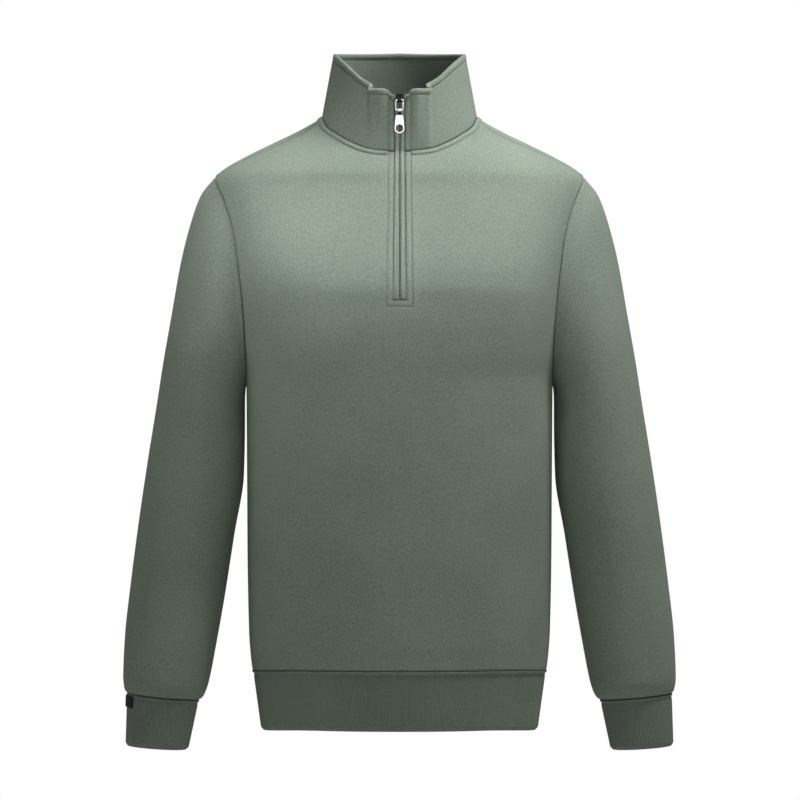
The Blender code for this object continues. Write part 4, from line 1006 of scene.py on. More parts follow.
def make_collar():
    right, left = collar_half("right_tuck"), collar_half("left_tuck")
    grid = np.concatenate([right, at_minus_x(left)[:, 1:]], axis=1)
    normals = grid_normals(grid)
    outward, thickness = (
        table_curve(COLLAR_PROFILE, COLLAR_PROFILE_COLUMNS, name, COLLAR_SHARES)[:, None]
        for name in ("outward", "thickness")
    )
    across = run_lengths(grid, axis=1)
    along = run_lengths(grid)
    in_rim = smoothstep((COLLAR_SHARES - COLLAR_RIM_FROM) / COLLAR_RIM_BLEND)[:, None]
    in_front = smoothstep((-grid[..., 1] - RIM_FRONT_FROM) / RIM_FRONT_REACH)
    lift = outward * (RIM_PROUD_BEHIND + (1 - RIM_PROUD_BEHIND) * in_front)
    lift += COLLAR_ROLL_UNEVEN * in_rim * uneven(across, COLLAR_ROLL_WAVES, COLLAR_SEED)
    lift -= COLLAR_SEAM_SHARE * SEAM_DIP * bell(along, SEAM_SOFT)
    slot = np.abs(grid[..., 0]) - SLOT_HALF_TOP
    slot = np.where(grid[..., 1] < 0, slot, FAR)
    lift += COLLAR_PLUMP_SHARE * FRAME_PLUMP * bell(slot - COLLAR_PLUMP_AT, FRAME_PLUMP_WIDTH)
    lift -= FRAME_GROOVE * bell(slot - FRAME_OFFSET_TOP, FRAME_GROOVE_WIDTH)
    edge = SLOT_ROLL * (1 - smoothstep(slot / SLOT_ROLL_WIDTH))
    outer = grid + normals * (lift - edge)[..., None]
    inner = grid + normals * (outward - thickness + SLOT_ROLL_INSIDE * edge)[..., None]
    quads = grid_quads(*grid.shape[:2])
    # Painted shade along the collar seam, in the groove under the rolled rim and in the zip frame's groove
    from_rim = (COLLAR_SHARES[:, None] - RIM_LINE_SHARE) * COLLAR_HEIGHT
    lines = np.maximum(bell(along, COLLAR_SHADE_WIDTH), bell(from_rim, FRAME_SHADE_WIDTH))
    at_frame = bell(slot - FRAME_OFFSET_TOP, FRAME_SHADE_WIDTH)
    seam = np.maximum(COLLAR_SHADE * lines, FRAME_SHADE * at_frame)
    return add_cloth("collar_cloth", outer, inner, quads, across, along, seam)


# Band over the collar seam

BAND_FROM = 0.0002
BAND_TO = 0.0066
BAND_HEIGHT = 0.0016
BAND_HEIGHT_BEHIND = 0.0009
BAND_LIFT = 0.0003
BAND_END_X = 0.0132
NECK_BAND_ROWS = 15
NECK_BAND_HALF_COLUMNS = 230
BAND_FRONT_FROM = 0.010
BAND_FRONT_REACH = 0.030
BAND_FLATNESS = 3.2
BAND_UNEVEN = 0.10
BAND_WAVES = (0.033, 0.019, 0.011)
BAND_SEED = 31
# The band's two stitched grooves, as shares of its width
BAND_GROOVES = (0.2, 0.8)
BAND_GROOVE = 0.0003
BAND_GROOVE_WIDTH = 0.07
BAND_SHADE = 0.7
BAND_SHADE_WIDTH = 0.06
BAND_LEAST = 0.0002
BAND_END_REACH = 0.0012
BAND_END_SHARE = 0.2


def neck_seam():
    """Points of the neckline all round, from one end of the band to the other, and the way down there."""
    start = neck_degrees(BAND_END_X)
    half = neckline(start + (180.0 - start) * np.linspace(0, 1, NECK_BAND_HALF_COLUMNS))
    seam = np.concatenate([half, half[-2::-1] * MIRROR])
    down = -unit(np.cross(torso_normal(seam), unit(np.gradient(seam, axis=0))))
    return seam, down


def make_neck_band():
    seam, down = neck_seam()
    t = np.linspace(1, 0, NECK_BAND_ROWS)
    reach = BAND_FROM + (BAND_TO - BAND_FROM) * t
    guide = np.stack([onto_torso(seam + down * distance) for distance in reach])
    normals = torso_normal(guide)
    across = run_lengths(guide, axis=1)
    round_over = np.maximum(1 - np.abs(2 * t - 1) ** BAND_FLATNESS, 0.0)[:, None] ** 0.5
    in_front = smoothstep((-guide[..., 1] - BAND_FRONT_FROM) / BAND_FRONT_REACH)
    height = BAND_HEIGHT_BEHIND + (BAND_HEIGHT - BAND_HEIGHT_BEHIND) * in_front
    height = height * round_over * (1 + BAND_UNEVEN * uneven(across, BAND_WAVES, BAND_SEED))
    height -= BAND_GROOVE * sum(bell(t - at, BAND_GROOVE_WIDTH) for at in BAND_GROOVES)[:, None]
    ends = np.minimum(across, across[:, -1:] - across)
    height *= smoothstep(ends / BAND_END_REACH) * (1 - BAND_END_SHARE) + BAND_END_SHARE
    outer = guide + normals * (BAND_LIFT + np.maximum(height, BAND_LEAST))[..., None]
    inner = guide + normals * BAND_LIFT
    # Painted shade in the band's two stitched grooves
    grooves = np.maximum(*(bell(t - at, BAND_SHADE_WIDTH) for at in BAND_GROOVES))
    shade = np.broadcast_to(BAND_SHADE * grooves[:, None], across.shape)
    along = reach[:, None] + 0 * across
    return add_cloth("neck_band_cloth", outer, inner, grid_quads(*guide.shape[:2]), across, along, shade)


# Zip

TAPE_THICK = 0.0010
TAPE_RECESS = 0.0006
TAPE_START = 0.0002
TAPE_BEHIND = 0.0007
TAPE_ROWS = 250
TAPE_BELOW_SLOT = 0.0100
TAPE_ACROSS = (
    0.0, 0.0003, 0.0007, 0.0011, 0.0016, 0.0022, 0.0029, 0.0036, 0.0042, 0.0047, 0.0051, 0.0055, 0.0059,
    0.0064, 0.0070, 0.0078, 0.0090, 0.0110, 0.0133,
)
TAPE_GROOVE = 0.0022
TAPE_GROOVE_WIDTH = 0.0008
TAPE_CROWN = 0.0006
TAPE_CROWN_AT = 0.0031
TAPE_CROWN_WIDTH = 0.0019
TAPE_BEND_START = 0.0012
TAPE_BEND_WIDTH = 0.0010
TAPE_SOFTEN = 0.0016


def soften_rows(grid, reach):
    """Smooths a grid of points along its rows' direction, over a given reach."""
    along = run_lengths(grid)[:, grid.shape[1] // 2]
    weights = bell(along[:, None] - along[None, :], reach)
    weights /= weights.sum(axis=1, keepdims=True)
    return np.einsum("ij,jkl->ikl", weights, grid)


def zip_surface(x, z):
    """The outer face of the cloth at the zip: the front below the seam, the collar above."""
    body = on_front(x, np.minimum(z, NECKLINE[0][1]))
    degrees = np.degrees(np.arctan2(x, -neckline(np.array(0.0))[1]))
    base, top = collar_ring(degrees, 0.0), collar_ring(degrees, 1.0)
    share = np.clip((z - base[..., 2]) / (top[..., 2] - base[..., 2]), 0, 1)
    collar = np.stack([x + 0 * z, base[..., 1] + (top - base)[..., 1] * share, z + 0 * x], axis=-1)
    return np.where((z > NECKLINE[0][1])[..., None], collar, body)


def make_tape(side):
    """One zip tape, with a folded edge at the middle, that runs on behind the cloth beside it."""
    z = np.linspace(SLOT_BOTTOM_Z - TAPE_BELOW_SLOT, TAPE_TOP_Z, TAPE_ROWS)
    x = np.array(TAPE_ACROSS) + TAPE_START
    x, z = np.broadcast_arrays(x[None, :], z[:, None])
    face = soften_rows(zip_surface(x, z), TAPE_SOFTEN)
    face[..., 0] = x
    normals = grid_normals(face)
    behind = np.where(z > NECKLINE[0][1], COLLAR_PROFILE[0][2], WALL) + TAPE_BEHIND
    turned = smoothstep((slot_distance(face) + TAPE_BEND_START) / TAPE_BEND_WIDTH)
    shown = TAPE_RECESS + TAPE_GROOVE * bell(x - TAPE_START, TAPE_GROOVE_WIDTH)
    shown = shown - TAPE_CROWN * bell(x - TAPE_CROWN_AT, TAPE_CROWN_WIDTH)
    depth = shown + (behind - shown) * turned
    outer = face - normals * depth[..., None]
    quads = grid_quads(*x.shape)
    inner = outer - normals * TAPE_THICK
    name = f"zip_tape_{side}_cloth"
    return add_cloth(name, outer, inner, quads, x, run_lengths(face), 0 * x, side == "right")


# Stitches and tape ends

STITCH_PITCH = 0.0031
STITCH_LENGTH = 0.0023
STITCH_RADIUS = 0.00028
STITCH_SINK = 0.00012
STITCH_RINGS = 7
STITCH_SIDES = 8
STITCH_FLATNESS = 4
FRAME_TOP_GAP = 0.001
FRAME_SIDE_POINTS = 160
FRAME_BOTTOM_POINTS = 16
# A distance in front of the garment
BEFORE_Y = -0.3
# Points along the rolled end of the zip tape at +X
TAPE_END = (
    (0.0104, -0.0756, 0.0190),
    (0.0092, -0.0772, 0.0202),
    (0.0074, -0.0781, 0.0200),
    (0.0060, -0.0780, 0.0184),
    (0.0054, -0.0770, 0.0162),
)
TAPE_END_RADIUS = 0.0012
TAPE_END_RINGS = 21
TAPE_END_SIDES = 16
TAPE_END_FLATNESS = 6
TAPE_END_ASIDE = (0.0, -1.0, 0.2)


def on_cloth(points, objects, toward):
    """The points moved along one direction onto the first of the objects that they meet."""
    trees = [BVHTree.FromObject(obj, bpy.context.evaluated_depsgraph_get()) for obj in objects]
    aim = mathutils.Vector(toward)
    moved = []
    for point in points:
        hits = [tree.ray_cast(mathutils.Vector(point), aim)[0] for tree in trees]
        hits = [hit for hit in hits if hit is not None]
        start = mathutils.Vector(point)
        moved.append(min(hits, key=lambda hit: (hit - start).length) if hits else start)
    return np.array([list(point) for point in moved])


def add_stitches(name, path, cloths, toward):
    """Short rounded threads along a path that is seen along one direction, sunk into the cloth."""
    lengths = run_lengths(path)
    count = int(lengths[-1] / STITCH_PITCH)
    t = np.linspace(0, 1, STITCH_RINGS)
    starts = (np.arange(count) + 0.5) * lengths[-1] / count - STITCH_LENGTH / 2
    at = (starts[:, None] + t[None, :] * STITCH_LENGTH).ravel()
    centres = np.stack([np.interp(at, lengths, path[:, axis]) for axis in range(3)], axis=1)
    centres = on_cloth(centres, cloths, toward)
    ends = centres.reshape(count, STITCH_RINGS, 3)
    ahead = unit(ends[:, -1] - ends[:, 0])
    out = -np.array(toward)
    side = unit(np.cross(ahead, out))
    out = unit(np.cross(side, ahead))
    fat = np.sqrt(np.maximum(1 - (2 * t - 1) ** STITCH_FLATNESS, 0.0)) * STITCH_RADIUS
    straight = ends[:, :1] + (ends[:, -1:] - ends[:, :1]) * t[None, :, None]
    turn = np.linspace(0, 2 * np.pi, STITCH_SIDES, endpoint=False)[None, None, :, None]
    ring = side[:, None, None] * np.cos(turn) + out[:, None, None] * np.sin(turn)
    points = straight[:, :, None] + ring * fat[None, :, None, None] - (out * STITCH_SINK)[:, None, None]
    one = grid_quads(STITCH_RINGS, STITCH_SIDES, closed=True)
    faces = (one[None] + (np.arange(count) * STITCH_RINGS * STITCH_SIDES)[:, None, None]).reshape(-1, 4)
    return outward_faces(add_mesh(name, points.reshape(-1, 3), faces))


def frame_path():
    """The stitched frame round the zip, seen from the front: down one side, across and up the other."""
    z = np.linspace(COLLAR_TOP[0][1] - FRAME_TOP_GAP, SLOT_BOTTOM_Z - FRAME_OFFSET_BOTTOM, FRAME_SIDE_POINTS)
    x = slot_half(z) + frame_offset(z)
    down = np.stack([x, z], axis=1)
    across = np.linspace(x[-1], -x[-1], FRAME_BOTTOM_POINTS)[1:-1]
    bottom = np.stack([across, 0 * across + z[-1]], axis=1)
    up = np.stack([-x, z], axis=1)[::-1]
    return np.insert(np.concatenate([down, bottom, up]), 1, BEFORE_Y, axis=1)


def make_tape_end(side):
    """The zip tape's end, rolled over beside the slider."""
    path = np.array(TAPE_END) * (1 if side == "left" else MIRROR)
    return add_tube(f"tape_end_{side}", path, TAPE_END_RADIUS)


def add_tube(name, path, radius):
    """A soft rounded roll along a short smooth path."""
    keys = np.linspace(0, 1, len(path))
    t = np.linspace(0, 1, TAPE_END_RINGS)
    centre = np.stack([smooth_through(keys, path[:, axis], t) for axis in range(3)], axis=1)
    ahead = unit(np.gradient(centre, axis=0))
    side = unit(np.cross(ahead, TAPE_END_ASIDE))
    out = np.cross(side, ahead)
    turn = np.linspace(0, 2 * np.pi, TAPE_END_SIDES, endpoint=False)[None, :, None]
    fat = radius * np.sqrt(np.maximum(1 - (2 * t - 1) ** TAPE_END_FLATNESS, 0.0))
    ring = side[:, None] * np.cos(turn) + out[:, None] * np.sin(turn)
    points = centre[:, None] + ring * fat[:, None, None]
    faces = grid_quads(len(t), TAPE_END_SIDES, closed=True)
    return outward_faces(add_mesh(name, points.reshape(-1, 3), faces))


# Pull: link, tag and the small parts that turn with them

PULL_Y = -0.0786
LINK_AXIS_Z = 0.0148
TAG_AXIS_Z = 0.0031
BAR_RADIUS = 0.0008
LINK_HALF_WIDTH = 0.0050
LINK_CORNER = 0.0013
BEND_POINTS = 8
ROUND_SIDES = 20
TAG_SHOULDER_Z = -0.0018
TAG_HOLE_Z = -0.0172
TAG_HOLE_RADIUS = 0.0038
TAG_ROUND_RADIUS = 0.0063
TAG_TOP_HALF = 0.0042
TAG_CORNER = 0.0008
TAG_DEPTH = 0.0017
TAG_BEVEL = 0.0006
TAG_EDGE_REACH = 0.00015
TAG_POINTS = 144
TAG_BEVEL_POINTS = 5
TAG_NECK_REACH = 0.0010
TAG_NECK_INSET = 0.0004
EYE_OUTER = 0.0019
EYE_INNER = 0.00118
EYE_HALF_WIDTH = 0.0023
EYE_BEVEL = 0.00015


def make_link():
    """A round bar bent into a closed link."""
    half, corner = LINK_HALF_WIDTH - BAR_RADIUS - LINK_CORNER, LINK_CORNER
    centres, outs = [], []
    for x, z, start in (
        (half, LINK_AXIS_Z - corner, 0),
        (-half, LINK_AXIS_Z - corner, 90),
        (-half, TAG_AXIS_Z + corner, 180),
        (half, TAG_AXIS_Z + corner, 270),
    ):
        turn = np.radians(np.linspace(start, start + 90, BEND_POINTS))
        out = np.stack([np.cos(turn), 0 * turn, np.sin(turn)], axis=1)
        centres.append(np.array([x, PULL_Y, z]) + out * corner)
        outs.append(out)
    centres, outs = np.concatenate(centres)[:, None], np.concatenate(outs)[:, None]
    round_it = np.linspace(0, 2 * np.pi, ROUND_SIDES, endpoint=False)[None, :, None]
    rings = centres + BAR_RADIUS * (outs * np.cos(round_it) + np.array([0.0, 1.0, 0.0]) * np.sin(round_it))
    quads = grid_quads(len(rings), ROUND_SIDES, ring=True)
    return outward_faces(add_mesh("pull_link_bar", rings.reshape(-1, 3), quads))


def tag_outline_reach(turn):
    """How far the tag's outline is from the middle of its hole, in the direction of each angle."""
    rise = TAG_SHOULDER_Z - TAG_HOLE_Z
    tangent = np.array([TAG_ROUND_RADIUS, 0.0]), np.array([TAG_TOP_HALF, rise - TAG_CORNER])
    side = tangent[1] - tangent[0]
    out = np.array([side[1], -side[0]]) / np.linalg.norm(side)
    facing = out[0] * np.abs(np.cos(turn)) + out[1] * np.sin(turn)
    to_side = (tangent[0] @ out) / np.maximum(facing, SMALLEST)
    to_top = rise / np.maximum(np.sin(turn), SMALLEST)
    cut = tangent[1].sum() / np.maximum(np.abs(np.cos(turn)) + np.sin(turn), SMALLEST)
    upper = np.minimum(np.minimum(to_side, to_top), cut)
    return np.where(np.sin(turn) > 0, np.minimum(upper, 1.0), TAG_ROUND_RADIUS)


def turned_ring(name, rings):
    """A closed solid from rings of points, the last of which joins the first."""
    points = np.stack(rings)
    return outward_faces(add_mesh(name, points.reshape(-1, 3), grid_quads(*points.shape[:2], ring=True)))


def make_tag_plate():
    """The tapered pull tag with its finger hole, with its rounded edges marked for painted shade."""
    turn = np.linspace(0, 2 * np.pi, TAG_POINTS, endpoint=False)
    outline = tag_outline_reach(turn)
    half, bevel = TAG_DEPTH / 2, TAG_BEVEL
    bend = np.radians(np.linspace(90, 0, TAG_BEVEL_POINTS))
    edge = [(bevel - bevel * math.sin(angle), half - bevel + bevel * math.cos(angle)) for angle in bend]
    edge.append((bevel + TAG_EDGE_REACH, half))
    rings, bevel_painted_dark = [], []
    sides = ((True, -1, edge), (False, -1, edge[::-1]), (False, 1, edge), (True, 1, edge[::-1]))
    for at_hole, face, rows in sides:
        for inset, y in rows:
            radius = TAG_HOLE_RADIUS + inset + 0 * turn if at_hole else outline - inset
            x, z = radius * np.cos(turn), TAG_HOLE_Z + radius * np.sin(turn)
            rings.append(np.stack([x, PULL_Y + face * y + 0 * turn, z], axis=1))
            bevel_painted_dark.append(inset <= bevel)
    plate = turned_ring("pull_tag_plate", rings)
    # Marks the bevel rows, whose metal is painted dark as shade and dark reflection
    add_attribute(plate, "edge", "FLOAT", np.repeat(bevel_painted_dark, TAG_POINTS))
    return plate


def make_tag_eye():
    """The eye that runs on the link's lower bar."""
    turn = np.linspace(0, 2 * np.pi, 2 * ROUND_SIDES, endpoint=False)
    profile = (
        (-EYE_HALF_WIDTH, EYE_INNER + EYE_BEVEL),
        (-EYE_HALF_WIDTH, EYE_OUTER - EYE_BEVEL),
        (-EYE_HALF_WIDTH + EYE_BEVEL, EYE_OUTER),
        (EYE_HALF_WIDTH - EYE_BEVEL, EYE_OUTER),
        (EYE_HALF_WIDTH, EYE_OUTER - EYE_BEVEL),
        (EYE_HALF_WIDTH, EYE_INNER + EYE_BEVEL),
        (EYE_HALF_WIDTH - EYE_BEVEL, EYE_INNER),
        (-EYE_HALF_WIDTH + EYE_BEVEL, EYE_INNER),
    )
    return turned_ring("pull_tag_eye", [
        np.stack([x + 0 * turn, PULL_Y + radius * np.cos(turn), TAG_AXIS_Z + radius * np.sin(turn)], axis=1)
        for x, radius in profile
    ])


def make_tag_neck():
    """The narrow piece between the tag's plate and its eye."""
    low, high = TAG_SHOULDER_Z - TAG_NECK_REACH, TAG_AXIS_Z - EYE_INNER - EYE_BEVEL
    bpy.ops.mesh.primitive_cube_add(size=1.0, location=(0.0, PULL_Y, (low + high) / 2))
    neck = bpy.context.active_object
    neck.name = "pull_tag_neck"
    neck.scale = (2 * EYE_HALF_WIDTH - TAG_NECK_INSET, TAG_DEPTH - TAG_NECK_INSET, high - low)
    bpy.ops.object.transform_apply(location=True, rotation=False, scale=True)
    return neck


# Blank tab on the cuff

TAB_Z_TOP = -0.6615
TAB_Z_BOTTOM = -0.6745
TAB_HALF_DEGREES = 38.0
TAB_THICK = 0.0011
TAB_LIFT = 0.0007
TAB_COLUMNS = 48
TAB_ROWS = 24
TAB_ROUND = 0.0005
TAB_SHADE = 0.6
TAB_STITCH_IN = 0.0012
TAB_STITCH_WIDTH = 0.0003


def make_cuff_tab():
    """A small folded tab, sewn flat round the outer side of the cuff at -X."""
    degrees = np.linspace(-TAB_HALF_DEGREES, TAB_HALF_DEGREES, TAB_COLUMNS)
    top_z, bottom_z = CUFF_TOP["outer"][1], CUFF_BOTTOM["outer"][1]
    low, high = [(z - bottom_z) / (top_z - bottom_z) for z in (TAB_Z_BOTTOM, TAB_Z_TOP)]
    base = np.stack([cuff_ring(share, degrees) for share in np.linspace(low, high, TAB_ROWS)])
    normals = grid_normals(base)
    along, across = run_lengths(base), run_lengths(base, axis=1)
    from_ends = np.minimum(across, across[:, -1:] - across)
    from_edge = np.minimum(np.minimum(along, along[-1:] - along), from_ends)
    rounding = TAB_ROUND * (1 - smoothstep(from_edge / (2 * TAB_ROUND)))
    outer = base + normals * (TAB_LIFT + TAB_THICK - rounding)[..., None]
    inner = base + normals * TAB_LIFT
    quads = grid_quads(TAB_ROWS, TAB_COLUMNS)
    # Painted shade along the tab's stitched line
    seam = TAB_SHADE * bell(along[-1:] - along - TAB_STITCH_IN, TAB_STITCH_WIDTH)
    return add_cloth("cuff_tab_cloth", outer, inner, quads, across, along, seam, mirrored=True)


# Materials

SHEEN_TINT = (0.62, 0.70, 0.60, 1.0)
# The dark colour painted into the cloth as shade along seams and stitched grooves
PAINTED_SHADE_COLOR = (0.012, 0.015, 0.012, 1)
INSIDE_COLOR = (0.20, 0.25, 0.19, 1)
INSIDE_SHARE = 0.25
# Dark colour painted on the metal's rounded edges as shade and dark reflection
EDGE_PAINTED_SHADE = (0.020, 0.019, 0.020, 1.0)
# Cloths: dark and light colour, strength of the painted shade in seams and grooves, strength of the fuzz's
# grain
CLOTHS = {
    "fleece": ((0.160, 0.194, 0.157, 1), (0.208, 0.250, 0.204, 1), 0.36, 0.62),
    "rib_knit": ((0.128, 0.156, 0.125, 1), (0.170, 0.205, 0.166, 1), 0.40, 0.5),
    "zip_tape": ((0.165, 0.198, 0.162, 1), (0.215, 0.255, 0.210, 1), 0.4, 0.5),
    "tab_weave": ((0.010, 0.010, 0.011, 1), (0.018, 0.018, 0.020, 1), 0.5, 0.3),
}
# Metals: colour, roughness, and how much rougher its roughest spots are
METALS = {
    "slider_metal": ((0.020, 0.019, 0.021, 1), 0.20, 0.10),
    "pull_metal": ((0.80, 0.78, 0.79, 1), 0.12, 0.10),
}
CLOTH_ROUGHNESS = 0.95
CLOTH_SHEEN = 0.12
CLOTH_SHEEN_ROUGHNESS = 0.55
CLOTH_SPECULAR = 0.15
BUMP_STRENGTH = 0.7
# Heights in metres of the knit's loops and of the fuzz on them
LOOP_HEIGHT = 0.00022
FUZZ_HEIGHT = 0.00022
# Painted shade in the hollows between the knit's loops: its share, and the share of all the rest
LOOP_SHADE = 0.22
FLAT_SHADE = 0.80
TONE_MIDDLE = 0.35
TONE_CONTRAST = 3.2
# Knit: widths of a wale and a course in metres, slant of the loops' legs, shares of wales and courses
WALE = 0.00125
COURSE = 0.00095
LEG_SLANT = 1.1
WALE_SHARE = 0.55
COURSE_SHARE = 0.45
# Tone of the cloth: scale, detail and share of the patches, the fuzz and the streaks
PATCHES = (9.0, 3.0, 0.45)
FUZZ = (620.0, 4.0, 0.33)
STREAKS = (1.0, 1.0, 0.22)
STREAK_STRETCH = (800.0, 260.0, 1.0)
METAL_SPOTS = (900.0, 4.0)


class Graph:
    """A short way to add and join nodes in a material or a node group."""

    def __init__(self, tree):
        self.tree = tree

    def add(self, kind, **settings):
        node = self.tree.nodes.new(kind)
        for name, value in settings.items():
            setattr(node, name, value)
        return node

    def join(self, source, target):
        self.tree.links.new(source, target)

    def math(self, operation, first, second=None, clamp=False):
        node = self.add("ShaderNodeMath", operation=operation, use_clamp=clamp)
        for place, value in enumerate((first, second)):
            if value is None:
                continue
            if isinstance(value, (int, float)):
                node.inputs[place].default_value = value
            else:
                self.join(value, node.inputs[place])
        return node.outputs[0]

    def total(self, *parts):
        """The sum of outputs, each times its share."""
        scaled = [self.math("MULTIPLY", output, share) for output, share in parts]
        while len(scaled) > 1:
            scaled[:2] = [self.math("ADD", scaled[0], scaled[1])]
        return scaled[0]

    def noise(self, vector, scale, detail):
        node = self.add("ShaderNodeTexNoise")
        node.inputs["Scale"].default_value = scale
        node.inputs["Detail"].default_value = detail
        self.join(vector, node.inputs["Vector"])
        return node.outputs[0]

    def parts(self, vector):
        node = self.add("ShaderNodeSeparateXYZ")
        self.join(vector, node.inputs[0])
        return node.outputs

    def mix(self, share, first, second, blend="MIX"):
        node = self.add("ShaderNodeMix", data_type="RGBA", blend_type=blend)
        for place, value in ((0, share), (6, first), (7, second)):
            if isinstance(value, (int, float, tuple)):
                node.inputs[place].default_value = value
            else:
                self.join(value, node.inputs[place])
        return node.outputs[2]


def new_group(name, inputs, outputs):
    """A node group with vector inputs and number outputs."""
    group = bpy.data.node_groups.new(name, "ShaderNodeTree")
    for socket in inputs:
        group.interface.new_socket(name=socket, in_out="INPUT", socket_type="NodeSocketVector")
    for socket in outputs:
        group.interface.new_socket(name=socket, in_out="OUTPUT", socket_type="NodeSocketFloat")
    graph = Graph(group)
    return group, graph, graph.add("NodeGroupInput"), graph.add("NodeGroupOutput")


def knit_group():
    """Rows of knit loops from the place along the cloth: a relief height from 0 to 1."""
    group, g, given, result = new_group("knit_relief", ["Place"], ["Height"])
    place = g.parts(given.outputs["Place"])
    wale = g.math("DIVIDE", place[0], WALE)
    slant = g.math("MULTIPLY", g.math("PINGPONG", wale, 0.5), LEG_SLANT)
    course = g.math("ADD", g.math("DIVIDE", place[1], COURSE), slant)
    halves = []
    for turns in (wale, course):
        wave = g.math("SINE", g.math("MULTIPLY", turns, 2 * math.pi))
        halves.append(g.math("ADD", g.math("MULTIPLY", wave, 0.5), 0.5))
    g.join(g.total((halves[0], WALE_SHARE), (halves[1], COURSE_SHARE)), result.inputs["Height"])
    return group


def tone_group():
    """Slight unevenness of dyed cotton cloth: large soft patches, streaks along the wales and fine fuzz."""
    group, g, given, result = new_group("cloth_tone", ["Place", "Point"], ["Tone", "Fuzz"])
    patches = g.noise(given.outputs["Point"], *PATCHES[:2])
    fuzz = g.noise(given.outputs["Point"], *FUZZ[:2])
    stretch = g.add("ShaderNodeVectorMath", operation="MULTIPLY")
    stretch.inputs[1].default_value = STREAK_STRETCH
    g.join(given.outputs["Place"], stretch.inputs[0])
    streaks = g.noise(stretch.outputs[0], *STREAKS[:2])
    tone = g.total((patches, PATCHES[2]), (streaks, STREAKS[2]), (fuzz, FUZZ[2]))
    g.join(tone, result.inputs["Tone"])
    g.join(fuzz, result.inputs["Fuzz"])
    return group


def attribute(g, name):
    return g.add("ShaderNodeAttribute", attribute_name=name)


def new_material(name):
    material = bpy.data.materials.new(name)
    material.use_nodes = True
    return material, Graph(material.node_tree), material.node_tree.nodes["Principled BSDF"]


def cloth_material(name, knit_nodes, tone_nodes, dark, light, painted_shade_strength, grain):
    """Knitted cloth: its tone between two colours, with painted shade in seams, grooves and between the
    loops, and the loops as fine relief.
    """
    material, g, shader = new_material(name)
    place, near = attribute(g, "knit_place"), attribute(g, "painted_shade_mask")
    knit = g.add("ShaderNodeGroup", node_tree=knit_nodes)
    tone = g.add("ShaderNodeGroup", node_tree=tone_nodes)
    g.join(place.outputs["Vector"], knit.inputs["Place"])
    g.join(place.outputs["Vector"], tone.inputs["Place"])
    g.join(g.add("ShaderNodeTexCoord").outputs["Object"], tone.inputs["Point"])
    away = g.math("SUBTRACT", tone.outputs["Tone"], TONE_MIDDLE)
    color = g.mix(g.math("MULTIPLY", away, TONE_CONTRAST, clamp=True), dark, light)
    # Painted shade in the hollows between the loops; the fuzz then adds the cloth's own grain
    shade = g.math("ADD", g.math("MULTIPLY", knit.outputs["Height"], LOOP_SHADE), FLAT_SHADE - grain / 2)
    shade = g.math("ADD", shade, g.math("MULTIPLY", tone.outputs["Fuzz"], grain))
    gray = g.add("ShaderNodeCombineColor")
    for socket in gray.inputs[:3]:
        g.join(shade, socket)
    color = g.mix(1.0, color, gray.outputs[0], "MULTIPLY")
    # Painted shade: the cloth darkened along seams and stitched grooves
    seam = g.math("MULTIPLY", near.outputs["Fac"], painted_shade_strength, clamp=True)
    color = g.mix(seam, color, PAINTED_SHADE_COLOR)
    inside = g.math("MULTIPLY", g.parts(place.outputs["Vector"])[2], INSIDE_SHARE)
    g.join(g.mix(inside, color, INSIDE_COLOR), shader.inputs["Base Color"])
    shader.inputs["Roughness"].default_value = CLOTH_ROUGHNESS
    shader.inputs["Sheen Weight"].default_value = CLOTH_SHEEN
    shader.inputs["Sheen Roughness"].default_value = CLOTH_SHEEN_ROUGHNESS
    shader.inputs["Sheen Tint"].default_value = SHEEN_TINT
    shader.inputs["Specular IOR Level"].default_value = CLOTH_SPECULAR
    bump = g.add("ShaderNodeBump")
    bump.inputs["Strength"].default_value = BUMP_STRENGTH
    bump.inputs["Distance"].default_value = 1.0
    height = g.total((knit.outputs["Height"], LOOP_HEIGHT), (tone.outputs["Fuzz"], FUZZ_HEIGHT))
    g.join(height, bump.inputs["Height"])
    g.join(bump.outputs[0], shader.inputs["Normal"])
    return material


def metal_material(name, color, rough, wear):
    """Polished metal, with painted shade and dark reflection on the rounded edges that a mesh marks."""
    material, g, shader = new_material(name)
    spots = g.noise(g.add("ShaderNodeTexCoord").outputs["Object"], *METAL_SPOTS)
    # Painted shade and dark reflection on the marked rounded edges
    g.join(g.mix(attribute(g, "edge").outputs["Fac"], color, EDGE_PAINTED_SHADE), shader.inputs["Base Color"])
    shader.inputs["Metallic"].default_value = 1.0
    g.join(g.math("ADD", g.math("MULTIPLY", spots, wear), rough), shader.inputs["Roughness"])
    return material


def make_materials():
    knit, tone = knit_group(), tone_group()
    made = {name: cloth_material(name, knit, tone, *look) for name, look in CLOTHS.items()}
    return made | {name: metal_material(name, *look) for name, look in METALS.items()}


# Building the garment

MATERIALS = make_materials()


def show(obj, node, material, body="garment"):
    obj.data.materials.clear()
    obj.data.materials.append(MATERIALS[material])
    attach(obj, body)
    if node is not None:
        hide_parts(node)
    return obj


cloths = {
    "front": show(make_front(), "front", "fleece"),
    "back": show(make_back(), "back", "fleece"),
    "collar": show(make_collar(), "collar", "fleece"),
    "neck_band": show(make_neck_band(), "neck_band", "fleece"),
    "hem_band": show(make_hem_band(), "hem_band", "rib_knit"),
    "cuff_tab": show(make_cuff_tab(), "cuff_tab", "tab_weave"),
}
for side in ("left", "right"):
    cloths[f"sleeve_{side}"] = show(make_sleeve(side), f"sleeve_{side}", "fleece")
    cloths[f"cuff_{side}"] = show(make_cuff(side), f"cuff_{side}", "rib_knit")
    cloths[f"zip_tape_{side}"] = show(make_tape(side), f"zip_tape_{side}", "zip_tape")

